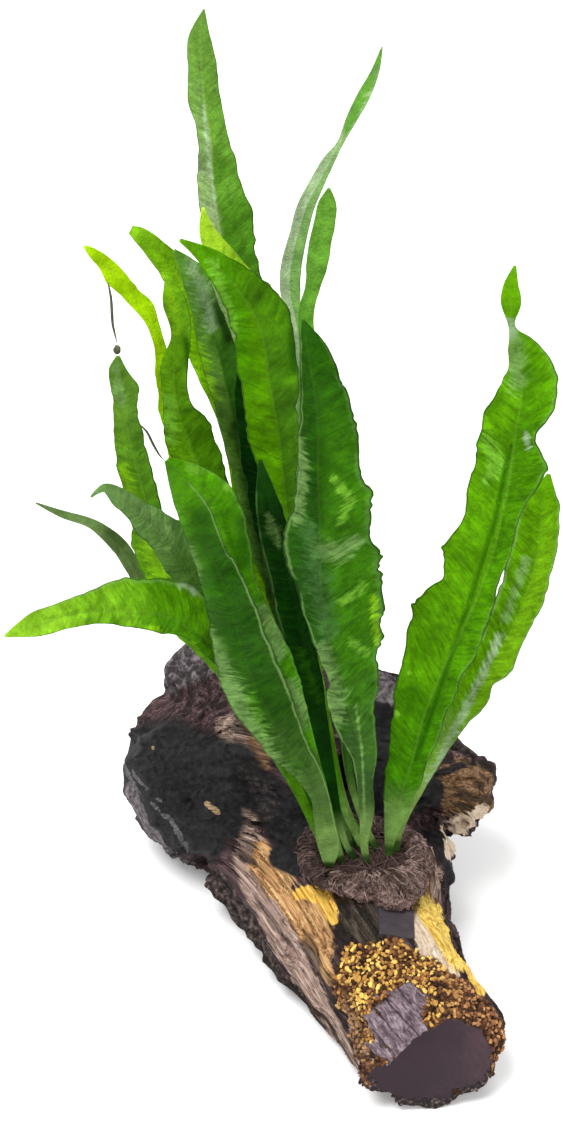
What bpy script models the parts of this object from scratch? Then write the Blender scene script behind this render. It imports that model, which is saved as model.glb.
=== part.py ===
"""Java fern on driftwood: a bunch of strap leaves on a rhizome, held by its root mat to a forked log.

Real size in metres, +Z up, +X to the right and +Y away from the viewer. The origin is on the flat
underside of the wood, below the foot of the plant.
"""
import math
from collections import namedtuple

import bmesh
import bpy
from mathutils import Vector, noise

MM = 0.001

# Driving sizes, in millimetres
CROWN_HEIGHT = 45.0
TOUCH_GAP = 0.32
MAT_ROOM = 0.6
LEAF_THICKNESS = 0.8
STALK_HALF_WIDTH = 1.0
BROAD_LEAF = 9.0
LONGEST_ROW_GAP = 30.0
NARROWEST_HALF = 0.2
BLADE_CUP = 0.10
FAN_OUT = 0.45
WOOD_VOXEL = 2.6
WOOD_TRIANGLES = 2500
RIDGE_SPACING = 10.0
RIDGE_STRETCH = 60.0
RIDGE_HEIGHT = 2.5
RIDGE_RISE = 0.55
GRAIN_BLEND = 4.0
LUMP_SPACING = 19.0
LUMP_HEIGHT = 2.6
LUMP_SHIFT = Vector((7.3, 1.9, 4.1))
ROOT_LUMP_SPACING = 5.0
ROOT_LUMP_HEIGHT = 2.6
FORK_GAP = 0.34
CUTTER_REACH = 200.0

# How finely the forms are built: steps along a run and sides round it
CURVE_STEPS = 400
LIMB_STEPS, LIMB_SIDES = 14, 16
RING_STEPS, RING_SIDES = 26, 8

# Linear colours of the wood and the roots
BARK_BROWN = (0.11, 0.065, 0.04)
ROOT_BROWN = (0.12, 0.07, 0.055)
RHIZOME_GREEN = (0.05, 0.09, 0.03)

# How the photograph sees the plant: from the front, looking down by VIEW_TILT. The foot of the
# plant shows at FOOT_PIXEL, at FOOT_SCALE pixels to the millimetre.
PHOTO_MIDDLE = (281.5, 574.0)
PHOTO_HEIGHT = 1148.0
LENS_TO_FRAME = 80.0 / 36.0
VIEW_TILT = math.radians(40)
FOOT_PIXEL = (362.0, 866.0)
FOOT_SCALE = 3.3

FOCAL = LENS_TO_FRAME * PHOTO_HEIGHT
ACROSS_VIEW = Vector((1, 0, 0))
UP_VIEW = Vector((0, math.sin(VIEW_TILT), math.cos(VIEW_TILT)))
INTO_VIEW = Vector((0, math.cos(VIEW_TILT), -math.sin(VIEW_TILT)))
EYE = (Vector((0, 0, CROWN_HEIGHT))
       - ACROSS_VIEW * ((FOOT_PIXEL[0] - PHOTO_MIDDLE[0]) / FOOT_SCALE)
       + UP_VIEW * ((FOOT_PIXEL[1] - PHOTO_MIDDLE[1]) / FOOT_SCALE)
       - INTO_VIEW * (FOCAL / FOOT_SCALE))

# The way from the back of the log to its sawn end, which the grain follows
DOWN_THE_LOG = Vector((0.3, -1, 0))

# The wood: each limb is a run of round sections (x, y, z, radius), in mm
LIMBS = {
    "front": ((-10, 36, 19, 27), (1, 14, 15.5, 27), (4.5, -6, 15.5, 24.5), (13, -30, 17, 23),
              (19.3, -43, 17, 22), (22, -52, 16.5, 19), (23, -59, 16.5, 14)),
    "flank": ((-30, 34, 18, 22), (-15, 10, 15, 20.5), (-5, -10, 13, 18), (5, -30, 12, 13), (10, -40, 12, 8)),
    "left": ((-6, 42, 28, 26), (-30, 51, 29, 30), (-49, 58, 27, 29), (-61, 62, 24.5, 24.5), (-69.5, 64, 22, 15)),
    "cap": ((-30, 70, 42, 18), (-46, 77, 48, 17.5), (-57, 79, 48, 14.5), (-62, 79, 47, 9)),
    "back": ((-34, 66, 40, 20), (-10, 62, 44, 20), (4, 59, 46, 18.5), (12, 57, 45, 15)),
    "right": ((0, 44, 36, 22), (16, 44, 38, 18.5), (30, 44, 34.5, 14.5), (39.5, 41, 31.5, 12)),
    "lip": ((16, 40, 30, 10), (20.5, 26, 27.5, 8.5), (21, 10, 24, 6.5)),
}

# Flat cuts through the wood: a point on the plane, and the way that the waste lies
SAW_CUT = ((21, -53.7, 17), (0.12, -1.0, 0.16))
CUT_BEVEL = ((7.5, -48.3, 33), (-0.43, -0.73, 0.53))

# The forks where the two side limbs leave the front branch: a point and the way to the limb
LEFT_FORK = ((-20, 40, 30), (-0.80, 0.60, 0.0))
RIGHT_FORK = ((16, 34, 36), (0.75, 0.66, 0.0))

# The root mat is a closed ring of coarse roots, thickest at the front right (x, y, z, radius)
ROOT_RING = ((-16, 5, 43, 3.4), (-13.5, -4, 43, 3.6), (-5, -8.5, 43, 3.6), (3, -8, 43, 4.4),
             (10, -6.5, 42.5, 6.0), (17, 1, 43, 4.6), (17, 10, 43.5, 4.0), (8, 17, 44, 3.8),
             (-5, 18, 44, 3.6), (-14, 13.5, 43.5, 3.4))

RHIZOME_MIDDLE = (-0.5, 4.0, 41.0)
RHIZOME_RADII = (14.5, 10.5, 4.0)
STALK_ROOM_MIDDLE = (0, 5, 57)
STALK_ROOM_RADII = (14.5, 12.5, 14.6)

Station = namedtuple("Station", "across down back left right turn")

# Every leaf, from its foot on the rhizome (x, y in mm) to its tip. A station gives the midrib's
# place in the photograph, how many mm it lies behind the foot of the plant, the width of the blade
# on the left and right of the midrib in mm, and the degrees that its right side turns away.
LEAVES = {
    "leaf_tall_back": ((0.5, 11.0), (
        (338, 790, 15.5, 1.2, 1.2, 0), (305, 680, 23, 2.0, 2.0, 5), (275, 540, 32, 4.0, 4.5, 10),
        (248, 400, 40, 6.0, 7.0, 15), (230, 290, 46, 6.0, 8.6, 12), (219, 225, 50, 4.8, 9.3, 8),
        (213, 180, 53, 4.2, 7.8, 4), (211, 140, 55, 3.5, 4.7, 0), (205, 104, 57, 4.2, 4.6, 0),
        (202, 73, 58, 3.8, 4.1, 0), (200, 39, 59, 3.1, 2.9, 0), (204, 9, 60, 0.2, 0.2, 0))),
    "leaf_thin_twisted": ((3.5, 9.5), (
        (350, 780, 13, 1.0, 1.0, 0), (336, 680, 19, 1.2, 1.2, 10), (308, 520, 26, 1.5, 1.5, 30),
        (297, 430, 30, 1.6, 1.6, 40), (299, 345, 33, 1.2, 1.2, 20), (295, 318, 34, 1.7, 1.7, 0),
        (290, 292, 35, 2.6, 2.7, 0), (291, 265, 36, 2.6, 2.8, 0), (298, 235, 37, 2.3, 2.5, 0),
        (306, 208, 38, 2.4, 2.1, 0), (319, 183, 39, 2.4, 1.5, 0), (331, 160, 40, 2.0, 1.1, 0),
        (340, 143, 40, 0.8, 0.9, 0), (351, 120, 41, 1.4, 1.4, 0), (363, 97, 41, 1.7, 1.7, 0),
        (375, 72, 42, 1.1, 1.1, 0), (382, 47, 42, 0.2, 0.2, 0))),
    "leaf_short_folded": ((4.6, 6.4), (
        (353, 790, 10.5, 1.0, 1.0, 0), (340, 680, 14, 1.4, 1.4, 5), (325, 520, 19, 2.0, 2.0, 15),
        (313, 400, 22, 2.2, 2.2, 20), (306, 320, 24, 2.0, 2.0, 10), (312, 288, 25, 1.8, 2.2, 0),
        (317, 266, 25, 2.8, 2.8, 0), (319, 245, 26, 2.8, 3.0, 0), (324, 220, 26, 2.6, 3.0, 0),
        (327, 203, 26, 2.2, 2.5, 0), (329, 188, 26, 0.3, 0.3, 0))),
    "leaf_broad_bright": ((1.4, 4.6), (
        (341, 800, 6, 1.0, 1.0, 0), (318, 690, 8, 1.4, 1.4, 0), (300, 600, 9, 1.8, 1.8, 0),
        (291, 540, 9, 2.2, 2.2, 0), (284, 483, 9.5, 6.0, 3.2, 6), (279, 434, 9.5, 8.2, 5.5, 8),
        (270, 386, 9.5, 7.6, 7.0, 8), (262, 335, 9.5, 7.4, 8.4, 6), (245, 300, 9.5, 6.3, 7.4, 4),
        (222, 271, 8, 3.8, 4.4, 0), (200, 252, 7, 1.9, 1.9, 0), (180, 240, 6, 0.4, 0.4, 0))),
    "leaf_yellow_tip": ((1.8, 7.6), (
        (344, 800, 9.5, 1.0, 1.0, 0), (320, 690, 14, 1.6, 1.6, 0), (293, 540, 18, 2.6, 2.6, 0),
        (276, 430, 20, 4.0, 4.0, 0), (262, 345, 21, 5.0, 5.0, 0), (248, 296, 21, 4.4, 4.2, 0),
        (231, 268, 20, 3.8, 3.6, 0), (215, 247, 19, 3.2, 3.0, 0), (206, 228, 18, 1.8, 1.9, 0),
        (203, 208, 17, 0.3, 0.3, 0))),
    "leaf_blunt_tip": ((-3.8, 10.6), (
        (326, 790, 13.8, 1.1, 1.1, 0), (290, 680, 19, 2.0, 2.0, 0), (255, 540, 24, 3.6, 3.6, -8),
        (225, 430, 28, 1.2, 4.6, -12), (200, 340, 31, 5.0, 5.0, -12), (190, 298, 32, 4.8, 4.6, -8),
        (180, 278, 32, 4.2, 4.0, 0), (167, 261, 32, 3.5, 3.5, 0), (150, 244, 31, 2.7, 2.7, 0),
        (138, 234, 30, 2.0, 2.0, 0), (131, 230, 30, 1.2, 1.2, 0))),
    "leaf_grey_back": ((-1.5, 8.8), (
        (333, 790, 11.5, 1.1, 1.1, 0), (302, 680, 16, 2.2, 2.2, 0), (264, 540, 20.5, 4.0, 4.0, 0),
        (236, 430, 23.5, 4.0, 5.2, 0), (222, 370, 25, 5.0, 4.8, 0), (212, 332, 25, 4.4, 4.4, 0),
        (203, 300, 25, 3.8, 3.8, 0), (192, 273, 24, 3.2, 3.2, 0), (174, 250, 23, 0.4, 0.4, 0))),
    "leaf_two_tone": ((-4.4, 6.0), (
        (322, 800, 5.5, 1.1, 1.1, 0), (278, 690, 8.5, 1.8, 1.8, 0), (250, 610, 10, 3.0, 3.0, 0),
        (222, 530, 12, 5.0, 5.0, 5), (200, 470, 13, 6.0, 6.4, 8), (187, 434, 13, 5.8, 6.6, 8),
        (177, 402, 13, 3.6, 3.4, 4), (174, 368, 13, 3.6, 3.8, 0), (176, 335, 13, 1.3, 4.1, 0),
        (174, 300, 12, 2.9, 3.2, 0), (167, 278, 12, 0.6, 0.6, 0))),
    "leaf_ragged_yellow": ((-6.4, 8.4), (
        (313, 790, 8.5, 1.1, 1.1, 0), (264, 680, 12, 1.8, 1.8, 0), (215, 560, 16, 2.4, 2.4, 0),
        (187, 480, 18, 2.6, 2.6, 0), (170, 415, 18, 2.6, 2.6, 0), (163, 370, 18, 2.2, 2.2, 0),
        (160, 348, 18, 1.7, 1.7, 0), (154, 328, 18, 1.6, 1.6, 0), (146, 311, 18, 2.2, 2.1, 0),
        (132, 296, 18, 2.2, 2.2, 0), (118, 278, 17, 2.6, 2.1, 0), (104, 264, 17, 1.9, 1.9, 0),
        (93, 253, 16, 1.4, 1.4, 0), (84, 246, 16, 0.3, 0.3, 0))),
    "leaf_beaded": ((-7.6, 5.4), (
        (316, 820, 4, 1.1, 1.1, 0), (260, 740, 3, 1.8, 1.8, 0), (215, 670, 2, 2.6, 2.6, 0),
        (180, 610, 1, 4.6, 3.0, 0), (160, 560, 0, 6.0, 3.6, -8), (151, 522, 0, 5.2, 4.0, -14),
        (144, 495, -1, 5.0, 3.6, -16), (137, 470, -1, 4.7, 3.8, -16), (131, 446, -1, 3.9, 3.8, -14),
        (127, 427, -1, 3.2, 3.3, -10), (124, 408, -1, 2.9, 3.5, -6), (122, 390, -1, 2.9, 4.4, 0),
        (119, 370, -1, 2.7, 2.0, 0), (118, 356, -1, 0.4, 0.4, 0))),
    "leaf_curled_tip": ((-6.6, 3.6), (
        (320, 820, 0.5, 1.1, 1.1, 0), (268, 740, -3, 2.0, 2.0, 0), (222, 650, -8, 3.4, 3.4, 0),
        (192, 580, -12, 4.6, 4.6, 0), (171, 545, -13, 4.6, 6.4, 4), (148, 523, -14, 3.9, 5.0, 8),
        (130, 507, -14, 2.8, 3.3, 8), (117, 495, -14, 2.2, 2.2, 4), (106, 488, -14, 1.3, 1.3, 0),
        (98, 491, -14, 0.7, 0.7, 0), (91, 497, -14, 0.3, 0.3, 0))),
    "leaf_thin_dark": ((-9.6, 7.2), (
        (300, 810, 6, 1.0, 1.0, 0), (240, 725, 6, 1.4, 1.4, 0), (185, 645, 6, 2.0, 2.0, 0),
        (150, 594, 6, 2.2, 2.2, 0), (133, 567, 6, 2.2, 2.2, 0), (120, 547, 6, 2.2, 2.2, 0),
        (104, 532, 5, 1.8, 1.8, 0), (88, 522, 5, 1.3, 1.3, 0), (62, 514, 4, 1.0, 1.0, 0),
        (36, 503, 3, 0.2, 0.2, 0))),
    "leaf_low_left": ((-8.6, 2.4), (
        (322, 842, -1.4, 1.2, 1.2, 0), (298, 790, -6, 1.4, 1.6, 0), (272, 738, -11, 1.8, 2.4, 0),
        (250, 698, -15, 2.0, 3.2, 0), (228, 664, -18.5, 2.6, 4.6, 5), (203, 639, -21, 3.0, 7.2, 8),
        (184, 626, -22.5, 2.7, 9.4, 12), (166, 617, -24, 4.5, 9.8, 12),
        (143, 613, -27, 4.2, 9.2, 12), (116, 611, -30, 3.6, 8.2, 10), (93, 611, -32, 3.4, 5.2, 6),
        (63, 617, -35, 3.3, 3.6, 0), (33, 626, -37, 2.8, 3.1, 0), (5, 636, -39, 0.3, 0.3, 0))),
    "leaf_front_left": ((-10.0, -0.2), (
        (328, 846, -3.4, 3.0, 3.4, 0), (324, 820, -5.5, 3.0, 3.0, 0), (319, 795, -8, 2.6, 2.8, 0),
        (306, 770, -10, 3.9, 3.9, 0), (295, 756, -11, 5.0, 5.0, 0), (283, 738, -13, 6.2, 6.2, 0),
        (273, 720, -15, 7.0, 7.0, -4), (260, 697, -17, 8.2, 8.2, -6), (251, 675, -19, 8.4, 8.4, -8),
        (241, 643, -22, 7.6, 7.6, -8), (232, 609, -25, 6.3, 6.3, -8), (222, 581, -27, 5.5, 5.5, -6),
        (209, 552, -30, 4.3, 4.3, -4), (193, 511, -33, 4.0, 4.0, 0), (178, 484, -35, 2.2, 2.2, 0),
        (166, 461, -37, 0.3, 0.3, 0))),
    "leaf_behind_front": ((-6.0, 1.4), (
        (336, 842, -1, 1.2, 1.2, 0), (322, 792, -5, 1.6, 1.8, 0), (303, 732, -9, 2.6, 2.6, 0),
        (286, 690, -12, 4.4, 4.6, 0), (268, 645, -15, 4.6, 4.6, 0), (252, 610, -17, 4.4, 4.0, 0),
        (239, 575, -19, 4.6, 4.0, 0), (228, 540, -20, 5.6, 5.4, 0), (214, 505, -22, 6.0, 6.4, 0),
        (196, 479, -23, 3.4, 3.4, 0), (168, 459, -24, 0.4, 0.4, 0))),
    "leaf_large_glossy": ((1.6, 0.6), (
        (364, 842, 0.4, 1.2, 1.3, 0), (365, 810, -1, 1.6, 2.8, 0), (364, 783, -2, 2.2, 2.6, 0),
        (362, 760, -3, 2.8, 4.4, 0), (356, 732, -4, 4.8, 5.8, 0), (346, 701, -5, 5.2, 10.0, 4),
        (339, 678, -6, 3.0, 12.0, 6), (331, 648, -8, 4.2, 14.8, 8), (326, 624, -9, 4.9, 16.7, 8),
        (321, 588, -10, 6.2, 16.8, 8), (320, 558, -11, 8.6, 15.6, 8), (320, 534, -12, 9.6, 13.4, 8),
        (319, 508, -13, 7.2, 14.3, 6), (318, 474, -14, 5.2, 11.4, 4), (318, 435, -15, 4.8, 10.1, 0),
        (316, 405, -16, 4.0, 8.3, 0), (312, 378, -17, 3.0, 6.8, 0), (307, 350, -17, 1.6, 5.2, 0),
        (303, 320, -18, 0.3, 0.3, 0))),
    "leaf_big_right": ((8.2, 4.0), (
        (390, 838, 5.4, 1.7, 1.8, 0), (401, 798, 6, 5.0, 3.6, 0), (413, 757, 7, 7.2, 4.8, -5),
        (425, 713, 7, 9.3, 6.0, -8), (442, 670, 8, 12.8, 6.2, -10), (464, 627, 8, 15.0, 5.8, -12),
        (479, 594, 8, 11.2, 5.0, -12), (491, 560, 8, 13.4, 4.4, -12), (499, 526, 8, 10.7, 4.6, -10),
        (508, 488, 9, 10.2, 7.0, -8), (512, 460, 9, 9.3, 9.4, -6), (516, 432, 9, 9.4, 5.8, -4),
        (521, 400, 9, 7.4, 9.0, 0), (522, 371, 9, 3.9, 8.6, 0), (518, 346, 9, 2.6, 4.6, 0),
        (512, 327, 9, 0.9, 0.9, 0), (511, 303, 8, 2.5, 2.6, 0), (510, 286, 8, 1.7, 2.2, 0),
        (515, 266, 7, 0.3, 0.3, 0))),
    "leaf_right_behind": ((10.6, 6.6), (
        (400, 824, 11, 1.4, 1.6, 0), (418, 785, 15, 3.0, 2.4, 0), (440, 745, 18, 4.0, 3.0, 0),
        (458, 716, 20.5, 4.8, 3.6, 0), (470, 697, 22, 5.4, 5.6, 2), (482, 678, 23.5, 6.0, 4.2, 4),
        (493, 661, 25, 6.5, 6.2, 6), (506, 640, 27, 7.0, 5.0, 8), (524, 600, 30, 8.0, 5.6, 10),
        (535, 562, 32, 8.0, 5.4, 10), (540, 528, 34, 7.0, 5.6, 8), (542, 505, 35, 5.0, 5.0, 5),
        (545, 488, 35, 2.6, 3.0, 0), (549, 474, 35, 0.5, 0.5, 0))),
    "leaf_dark_centre": ((-2.2, 5.8), (
        (335, 800, 8.2, 1.1, 1.1, 0), (310, 690, 11.5, 2.6, 2.6, 0), (290, 600, 13.5, 4.4, 4.4, 0),
        (268, 500, 15, 5.0, 5.0, 0), (254, 420, 15.5, 4.6, 4.6, 0), (246, 370, 16, 2.6, 2.6, 0),
        (243, 340, 16, 0.4, 0.4, 0))),
    "leaf_dark_low": ((-2.2, 2.6), (
        (341, 830, 2, 1.1, 1.1, 0), (320, 730, 1, 2.6, 2.6, 0), (300, 640, 0, 4.2, 4.2, 0),
        (281, 560, -1, 4.4, 4.4, 0), (268, 505, -2, 3.2, 3.2, 0), (260, 460, -2, 0.4, 0.4, 0))),
}

LEAF_GREENS = {
    "leaf_broad_bright": (0.13, 0.42, 0.04), "leaf_yellow_tip": (0.28, 0.55, 0.03),
    "leaf_ragged_yellow": (0.26, 0.52, 0.03), "leaf_big_right": (0.12, 0.44, 0.02),
    "leaf_right_behind": (0.20, 0.46, 0.03), "leaf_low_left": (0.16, 0.48, 0.04),
    "leaf_behind_front": (0.12, 0.40, 0.03), "leaf_two_tone": (0.10, 0.34, 0.04),
}
DEEP_GREEN = (0.03, 0.17, 0.03)


def remove_default_objects():
    for old in list(bpy.data.objects):
        bpy.data.objects.remove(old, do_unlink=True)


def new_collection(name):
    collection = bpy.data.collections.new(name)
    bpy.context.scene.collection.children.link(collection)
    return collection


def principled(name, colour, roughness, metallic=0.0):
    material = bpy.data.materials.new(name)
    material.use_nodes = True
    shader = material.node_tree.nodes["Principled BSDF"]
    shader.inputs["Base Color"].default_value = (*colour, 1.0)
    shader.inputs["Roughness"].default_value = roughness
    shader.inputs["Metallic"].default_value = metallic
    return material


def add_object(name, mesh, collection, material=None):
    made = bpy.data.objects.new(name, mesh)
    collection.objects.link(made)
    if material is not None:
        mesh.materials.clear()
        mesh.materials.append(material)
    return made


def move_to(item, collection):
    """Take an object out of the collections it is in, and put it in this one."""
    for home in list(item.users_collection):
        home.objects.unlink(item)
    collection.objects.link(item)


def evaluated_mesh(source):
    """A plain mesh of the object with its modifiers, or its bevel if it is a curve, worked in."""
    graph = bpy.context.evaluated_depsgraph_get()
    mesh = bpy.data.meshes.new_from_object(source.evaluated_get(graph))
    mesh.transform(source.matrix_world)
    return mesh


def smooth_row(rows, place):
    """The row of numbers at a fractional place along the list, on a smooth curve through its rows."""
    first = min(int(place), len(rows) - 2)
    t = place - first
    before, start, end, after = (rows[max(first - 1, 0)], rows[first], rows[first + 1],
                                 rows[min(first + 2, len(rows) - 1)])
    return [0.5 * (2 * b + (c - a) * t + (2 * a - 5 * b + 4 * c - d) * t * t
                   + (3 * b - a - 3 * c + d) * t ** 3)
            for a, b, c, d in zip(before, start, end, after)]


def even_rows(rows, count, closed=False):
    """`count` + 1 rows at even distances along the curve through the rows' first three numbers."""
    if closed:
        rows = [rows[-1], *rows, rows[0], rows[1]]
    low, high = (1, len(rows) - 2) if closed else (0, len(rows) - 1)
    fine = [low + (high - low) * step / CURVE_STEPS for step in range(CURVE_STEPS + 1)]
    points = [Vector(smooth_row(rows, place)[:3]) for place in fine]
    lengths = [0.0]
    for start, end in zip(points, points[1:]):
        lengths.append(lengths[-1] + (end - start).length)
    result = []
    reached = 0
    for step in range(count + 1):
        wanted = lengths[-1] * step / count
        while reached < CURVE_STEPS - 1 and lengths[reached + 1] < wanted:
            reached += 1
        span = max(lengths[reached + 1] - lengths[reached], 1e-9)
        part = min(max((wanted - lengths[reached]) / span, 0.0), 1.0)
        result.append(smooth_row(rows, fine[reached] + (fine[reached + 1] - fine[reached]) * part))
    return result


def seen_at(across, down, back):
    """The point, in mm, that shows at this place of the photograph and lies `back` mm behind the foot."""
    ray = (ACROSS_VIEW * ((across - PHOTO_MIDDLE[0]) / FOCAL)
           - UP_VIEW * ((down - PHOTO_MIDDLE[1]) / FOCAL) + INTO_VIEW)
    return EYE + ray * ((back - EYE.y) / ray.y)


def rhizome_top(x, y):
    """The height, in mm, of the rhizome's upper side below a stalk."""
    u = (x - RHIZOME_MIDDLE[0]) / RHIZOME_RADII[0]
    v = (y - RHIZOME_MIDDLE[1]) / RHIZOME_RADII[1]
    return RHIZOME_MIDDLE[2] + RHIZOME_RADII[2] * math.sqrt(max(1.0 - u * u - v * v, 0.0))


def tube_mesh(name, sections, steps, sides, closed=False):
    """A round limb of changing thickness through the sections (x, y, z, radius), as a mesh."""
    curve = bpy.data.curves.new(name, "CURVE")
    curve.dimensions = "3D"
    curve.bevel_depth = MM
    curve.bevel_resolution = sides // 2 - 2
    curve.use_fill_caps = not closed
    rows = even_rows(sections, steps, closed)
    if closed:
        rows = rows[:-1]
    spline = curve.splines.new("POLY")
    spline.points.add(len(rows) - 1)
    for point, (x, y, z, radius) in zip(spline.points, rows):
        point.co = (x * MM, y * MM, z * MM, 1)
        point.radius = radius
    spline.use_cyclic_u = closed
    guide = bpy.data.objects.new(name, curve)
    bpy.context.scene.collection.objects.link(guide)
    mesh = evaluated_mesh(guide)
    bpy.data.objects.remove(guide, do_unlink=True)
    form = bmesh.new()
    form.from_mesh(mesh)
    bmesh.ops.remove_doubles(form, verts=form.verts, dist=0.01 * MM)
    bmesh.ops.recalc_face_normals(form, faces=form.faces)
    form.to_mesh(mesh)
    form.free()
    return mesh


def joined_mesh(name, meshes):
    form = bmesh.new()
    for mesh in meshes:
        form.from_mesh(mesh)
    result = bpy.data.meshes.new(name)
    form.to_mesh(result)
    form.free()
    return result


def voxel_union(name, mesh, voxel, collection):
    """One closed skin around all the bodies of the mesh."""
    made = add_object(name, mesh, collection)
    remesh = made.modifiers.new("one skin", "REMESH")
    remesh.mode = "VOXEL"
    remesh.voxel_size = voxel * MM
    smooth = made.modifiers.new("soften", "SMOOTH")
    smooth.iterations = 3
    return made


def with_fewer_triangles(mesh, wanted, collection):
    """The same form in about the wanted number of triangles."""
    mesh.calc_loop_triangles()
    made = add_object("thinned", mesh, collection)
    thin = made.modifiers.new("thin", "DECIMATE")
    thin.ratio = min(wanted / len(mesh.loop_triangles), 1.0)
    thin.use_collapse_triangulate = True
    result = evaluated_mesh(made)
    bpy.data.objects.remove(made, do_unlink=True)
    return result


def grain_direction(point):
    """The way that the grain runs at a point of the wood: along the nearest limb."""
    total = Vector((0, 0, 0))
    for sections in LIMBS.values():
        for start, end in zip(sections, sections[1:]):
            a, b = Vector(start[:3]), Vector(end[:3])
            axis = b - a
            share = min(max((point - a).dot(axis) / axis.length_squared, 0.0), 1.0)
            distance = (point - (a + axis * share)).length
            along = axis.normalized()
            if along.dot(DOWN_THE_LOG) < 0:
                along = -along
            total += along * math.exp(-distance / GRAIN_BLEND)
    return total.normalized()


def wood_relief(point):
    """How far the weathered surface stands out at a point, in mm."""
    along = grain_direction(point)
    run = point.dot(along)
    across = point - along * run
    ridges = noise.noise(across / RIDGE_SPACING + along * (run / RIDGE_STRETCH))
    lumps = noise.noise(point / LUMP_SPACING + LUMP_SHIFT)
    return (RIDGE_RISE - 2.0 * abs(ridges)) * RIDGE_HEIGHT + lumps * LUMP_HEIGHT


def root_relief(point):
    """How far the coarse roots stand out at a point of the mat, in mm."""
    return noise.noise(point / ROOT_LUMP_SPACING) * ROOT_LUMP_HEIGHT


def roughen(mesh, relief):
    """Move every point of the mesh along its normal by the relief there."""
    form = bmesh.new()
    form.from_mesh(mesh)
    form.normal_update()
    moves = [vert.normal * relief(vert.co / MM) * MM for vert in form.verts]
    for vert, move in zip(form.verts, moves):
        vert.co += move
    form.to_mesh(mesh)
    form.free()


def half_space(name, point, waste_side, collection):
    """A big block whose near face is the plane through the point, on the waste side of it."""
    direction = Vector(waste_side).normalized()
    bpy.ops.mesh.primitive_cube_add(size=CUTTER_REACH * 2 * MM)
    block = bpy.context.active_object
    block.name = name
    block.rotation_euler = direction.to_track_quat("Z", "Y").to_euler()
    block.location = (Vector(point) + direction * CUTTER_REACH) * MM
    move_to(block, collection)
    hide_cutter(block)
    return block


def hide_cutter(cutter):
    cutter.hide_render = True
    cutter.display_type = "WIRE"


def carve(target, cutter, operation="DIFFERENCE"):
    modifier = target.modifiers.new(f"{operation.lower()} {cutter.name}", "BOOLEAN")
    modifier.operation = operation
    modifier.object = cutter
    modifier.solver = "EXACT"


def grown(name, mesh, distance, collection):
    """A cutter that stands `distance` mm outside the mesh all round."""
    form = bmesh.new()
    form.from_mesh(mesh)
    form.normal_update()
    for vert in form.verts:
        vert.co += vert.normal * distance * MM
    bigger = bpy.data.meshes.new(name)
    form.to_mesh(bigger)
    form.free()
    cutter = add_object(name, bigger, collection)
    hide_cutter(cutter)
    return cutter


def make_wood_form(cutters):
    """The whole log in one skin, weathered, before it is cut at its forks."""
    limbs = [tube_mesh(f"limb_{name}", sections, LIMB_STEPS, LIMB_SIDES) for name, sections in LIMBS.items()]
    union = voxel_union("wood_form", joined_mesh("wood_form", limbs), WOOD_VOXEL, cutters)
    mesh = evaluated_mesh(union)
    bpy.data.objects.remove(union, do_unlink=True)
    roughen(mesh, wood_relief)
    return with_fewer_triangles(mesh, WOOD_TRIANGLES, cutters)


def make_root_mat(parts, cutters):
    """A lumpy closed ring of coarse roots round the foot of the leaves."""
    mesh = tube_mesh("root_ring", ROOT_RING, RING_STEPS, RING_SIDES, closed=True)
    roughen(mesh, root_relief)
    return add_object("root_mat", mesh, parts, principled("root fibre", ROOT_BROWN, 0.9))


def make_rhizome(parts):
    """The creeping stem that every leaf grows from, a flat mound inside the root mat."""
    bpy.ops.mesh.primitive_uv_sphere_add(segments=12, ring_count=6, radius=MM)
    mound = bpy.context.active_object
    mound.name = "rhizome"
    mesh = mound.data
    for vert in mesh.vertices:
        for axis in range(3):
            vert.co[axis] = vert.co[axis] * RHIZOME_RADII[axis] + RHIZOME_MIDDLE[axis] * MM
    move_to(mound, parts)
    mesh.materials.append(principled("rhizome", RHIZOME_GREEN, 0.7))
    mesh.shade_smooth()
    return mound


def leaf_rows(foot, stations):
    """The leaf's midrib as rows of x, y, z, left width, right width and turn, from foot to tip."""
    x, y = foot
    first = Station(*stations[0])
    rows = [(x, y, rhizome_top(x, y) + TOUCH_GAP + LEAF_THICKNESS * 0.3,
             STALK_HALF_WIDTH, STALK_HALF_WIDTH, first.turn)]
    for index, numbers in enumerate(stations):
        station = Station(*numbers)
        share = index / (len(stations) - 1)
        point = seen_at(station.across, station.down, station.back * (1 + FAN_OUT * share))
        spread = 1 / math.cos(math.radians(station.turn))
        rows.append((*point, station.left * spread, station.right * spread, station.turn))
    return rows


def filled_rows(stations):
    """The stations, with more of them on the smooth curve wherever two lie far apart."""
    rows = []
    for index, (start, end) in enumerate(zip(stations, stations[1:])):
        gap = (Vector(end[:3]) - Vector(start[:3])).length
        pieces = max(math.ceil(gap / LONGEST_ROW_GAP), 1)
        rows += [smooth_row(stations, index + piece / pieces) for piece in range(pieces)]
    return rows + [list(stations[-1])]


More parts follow.
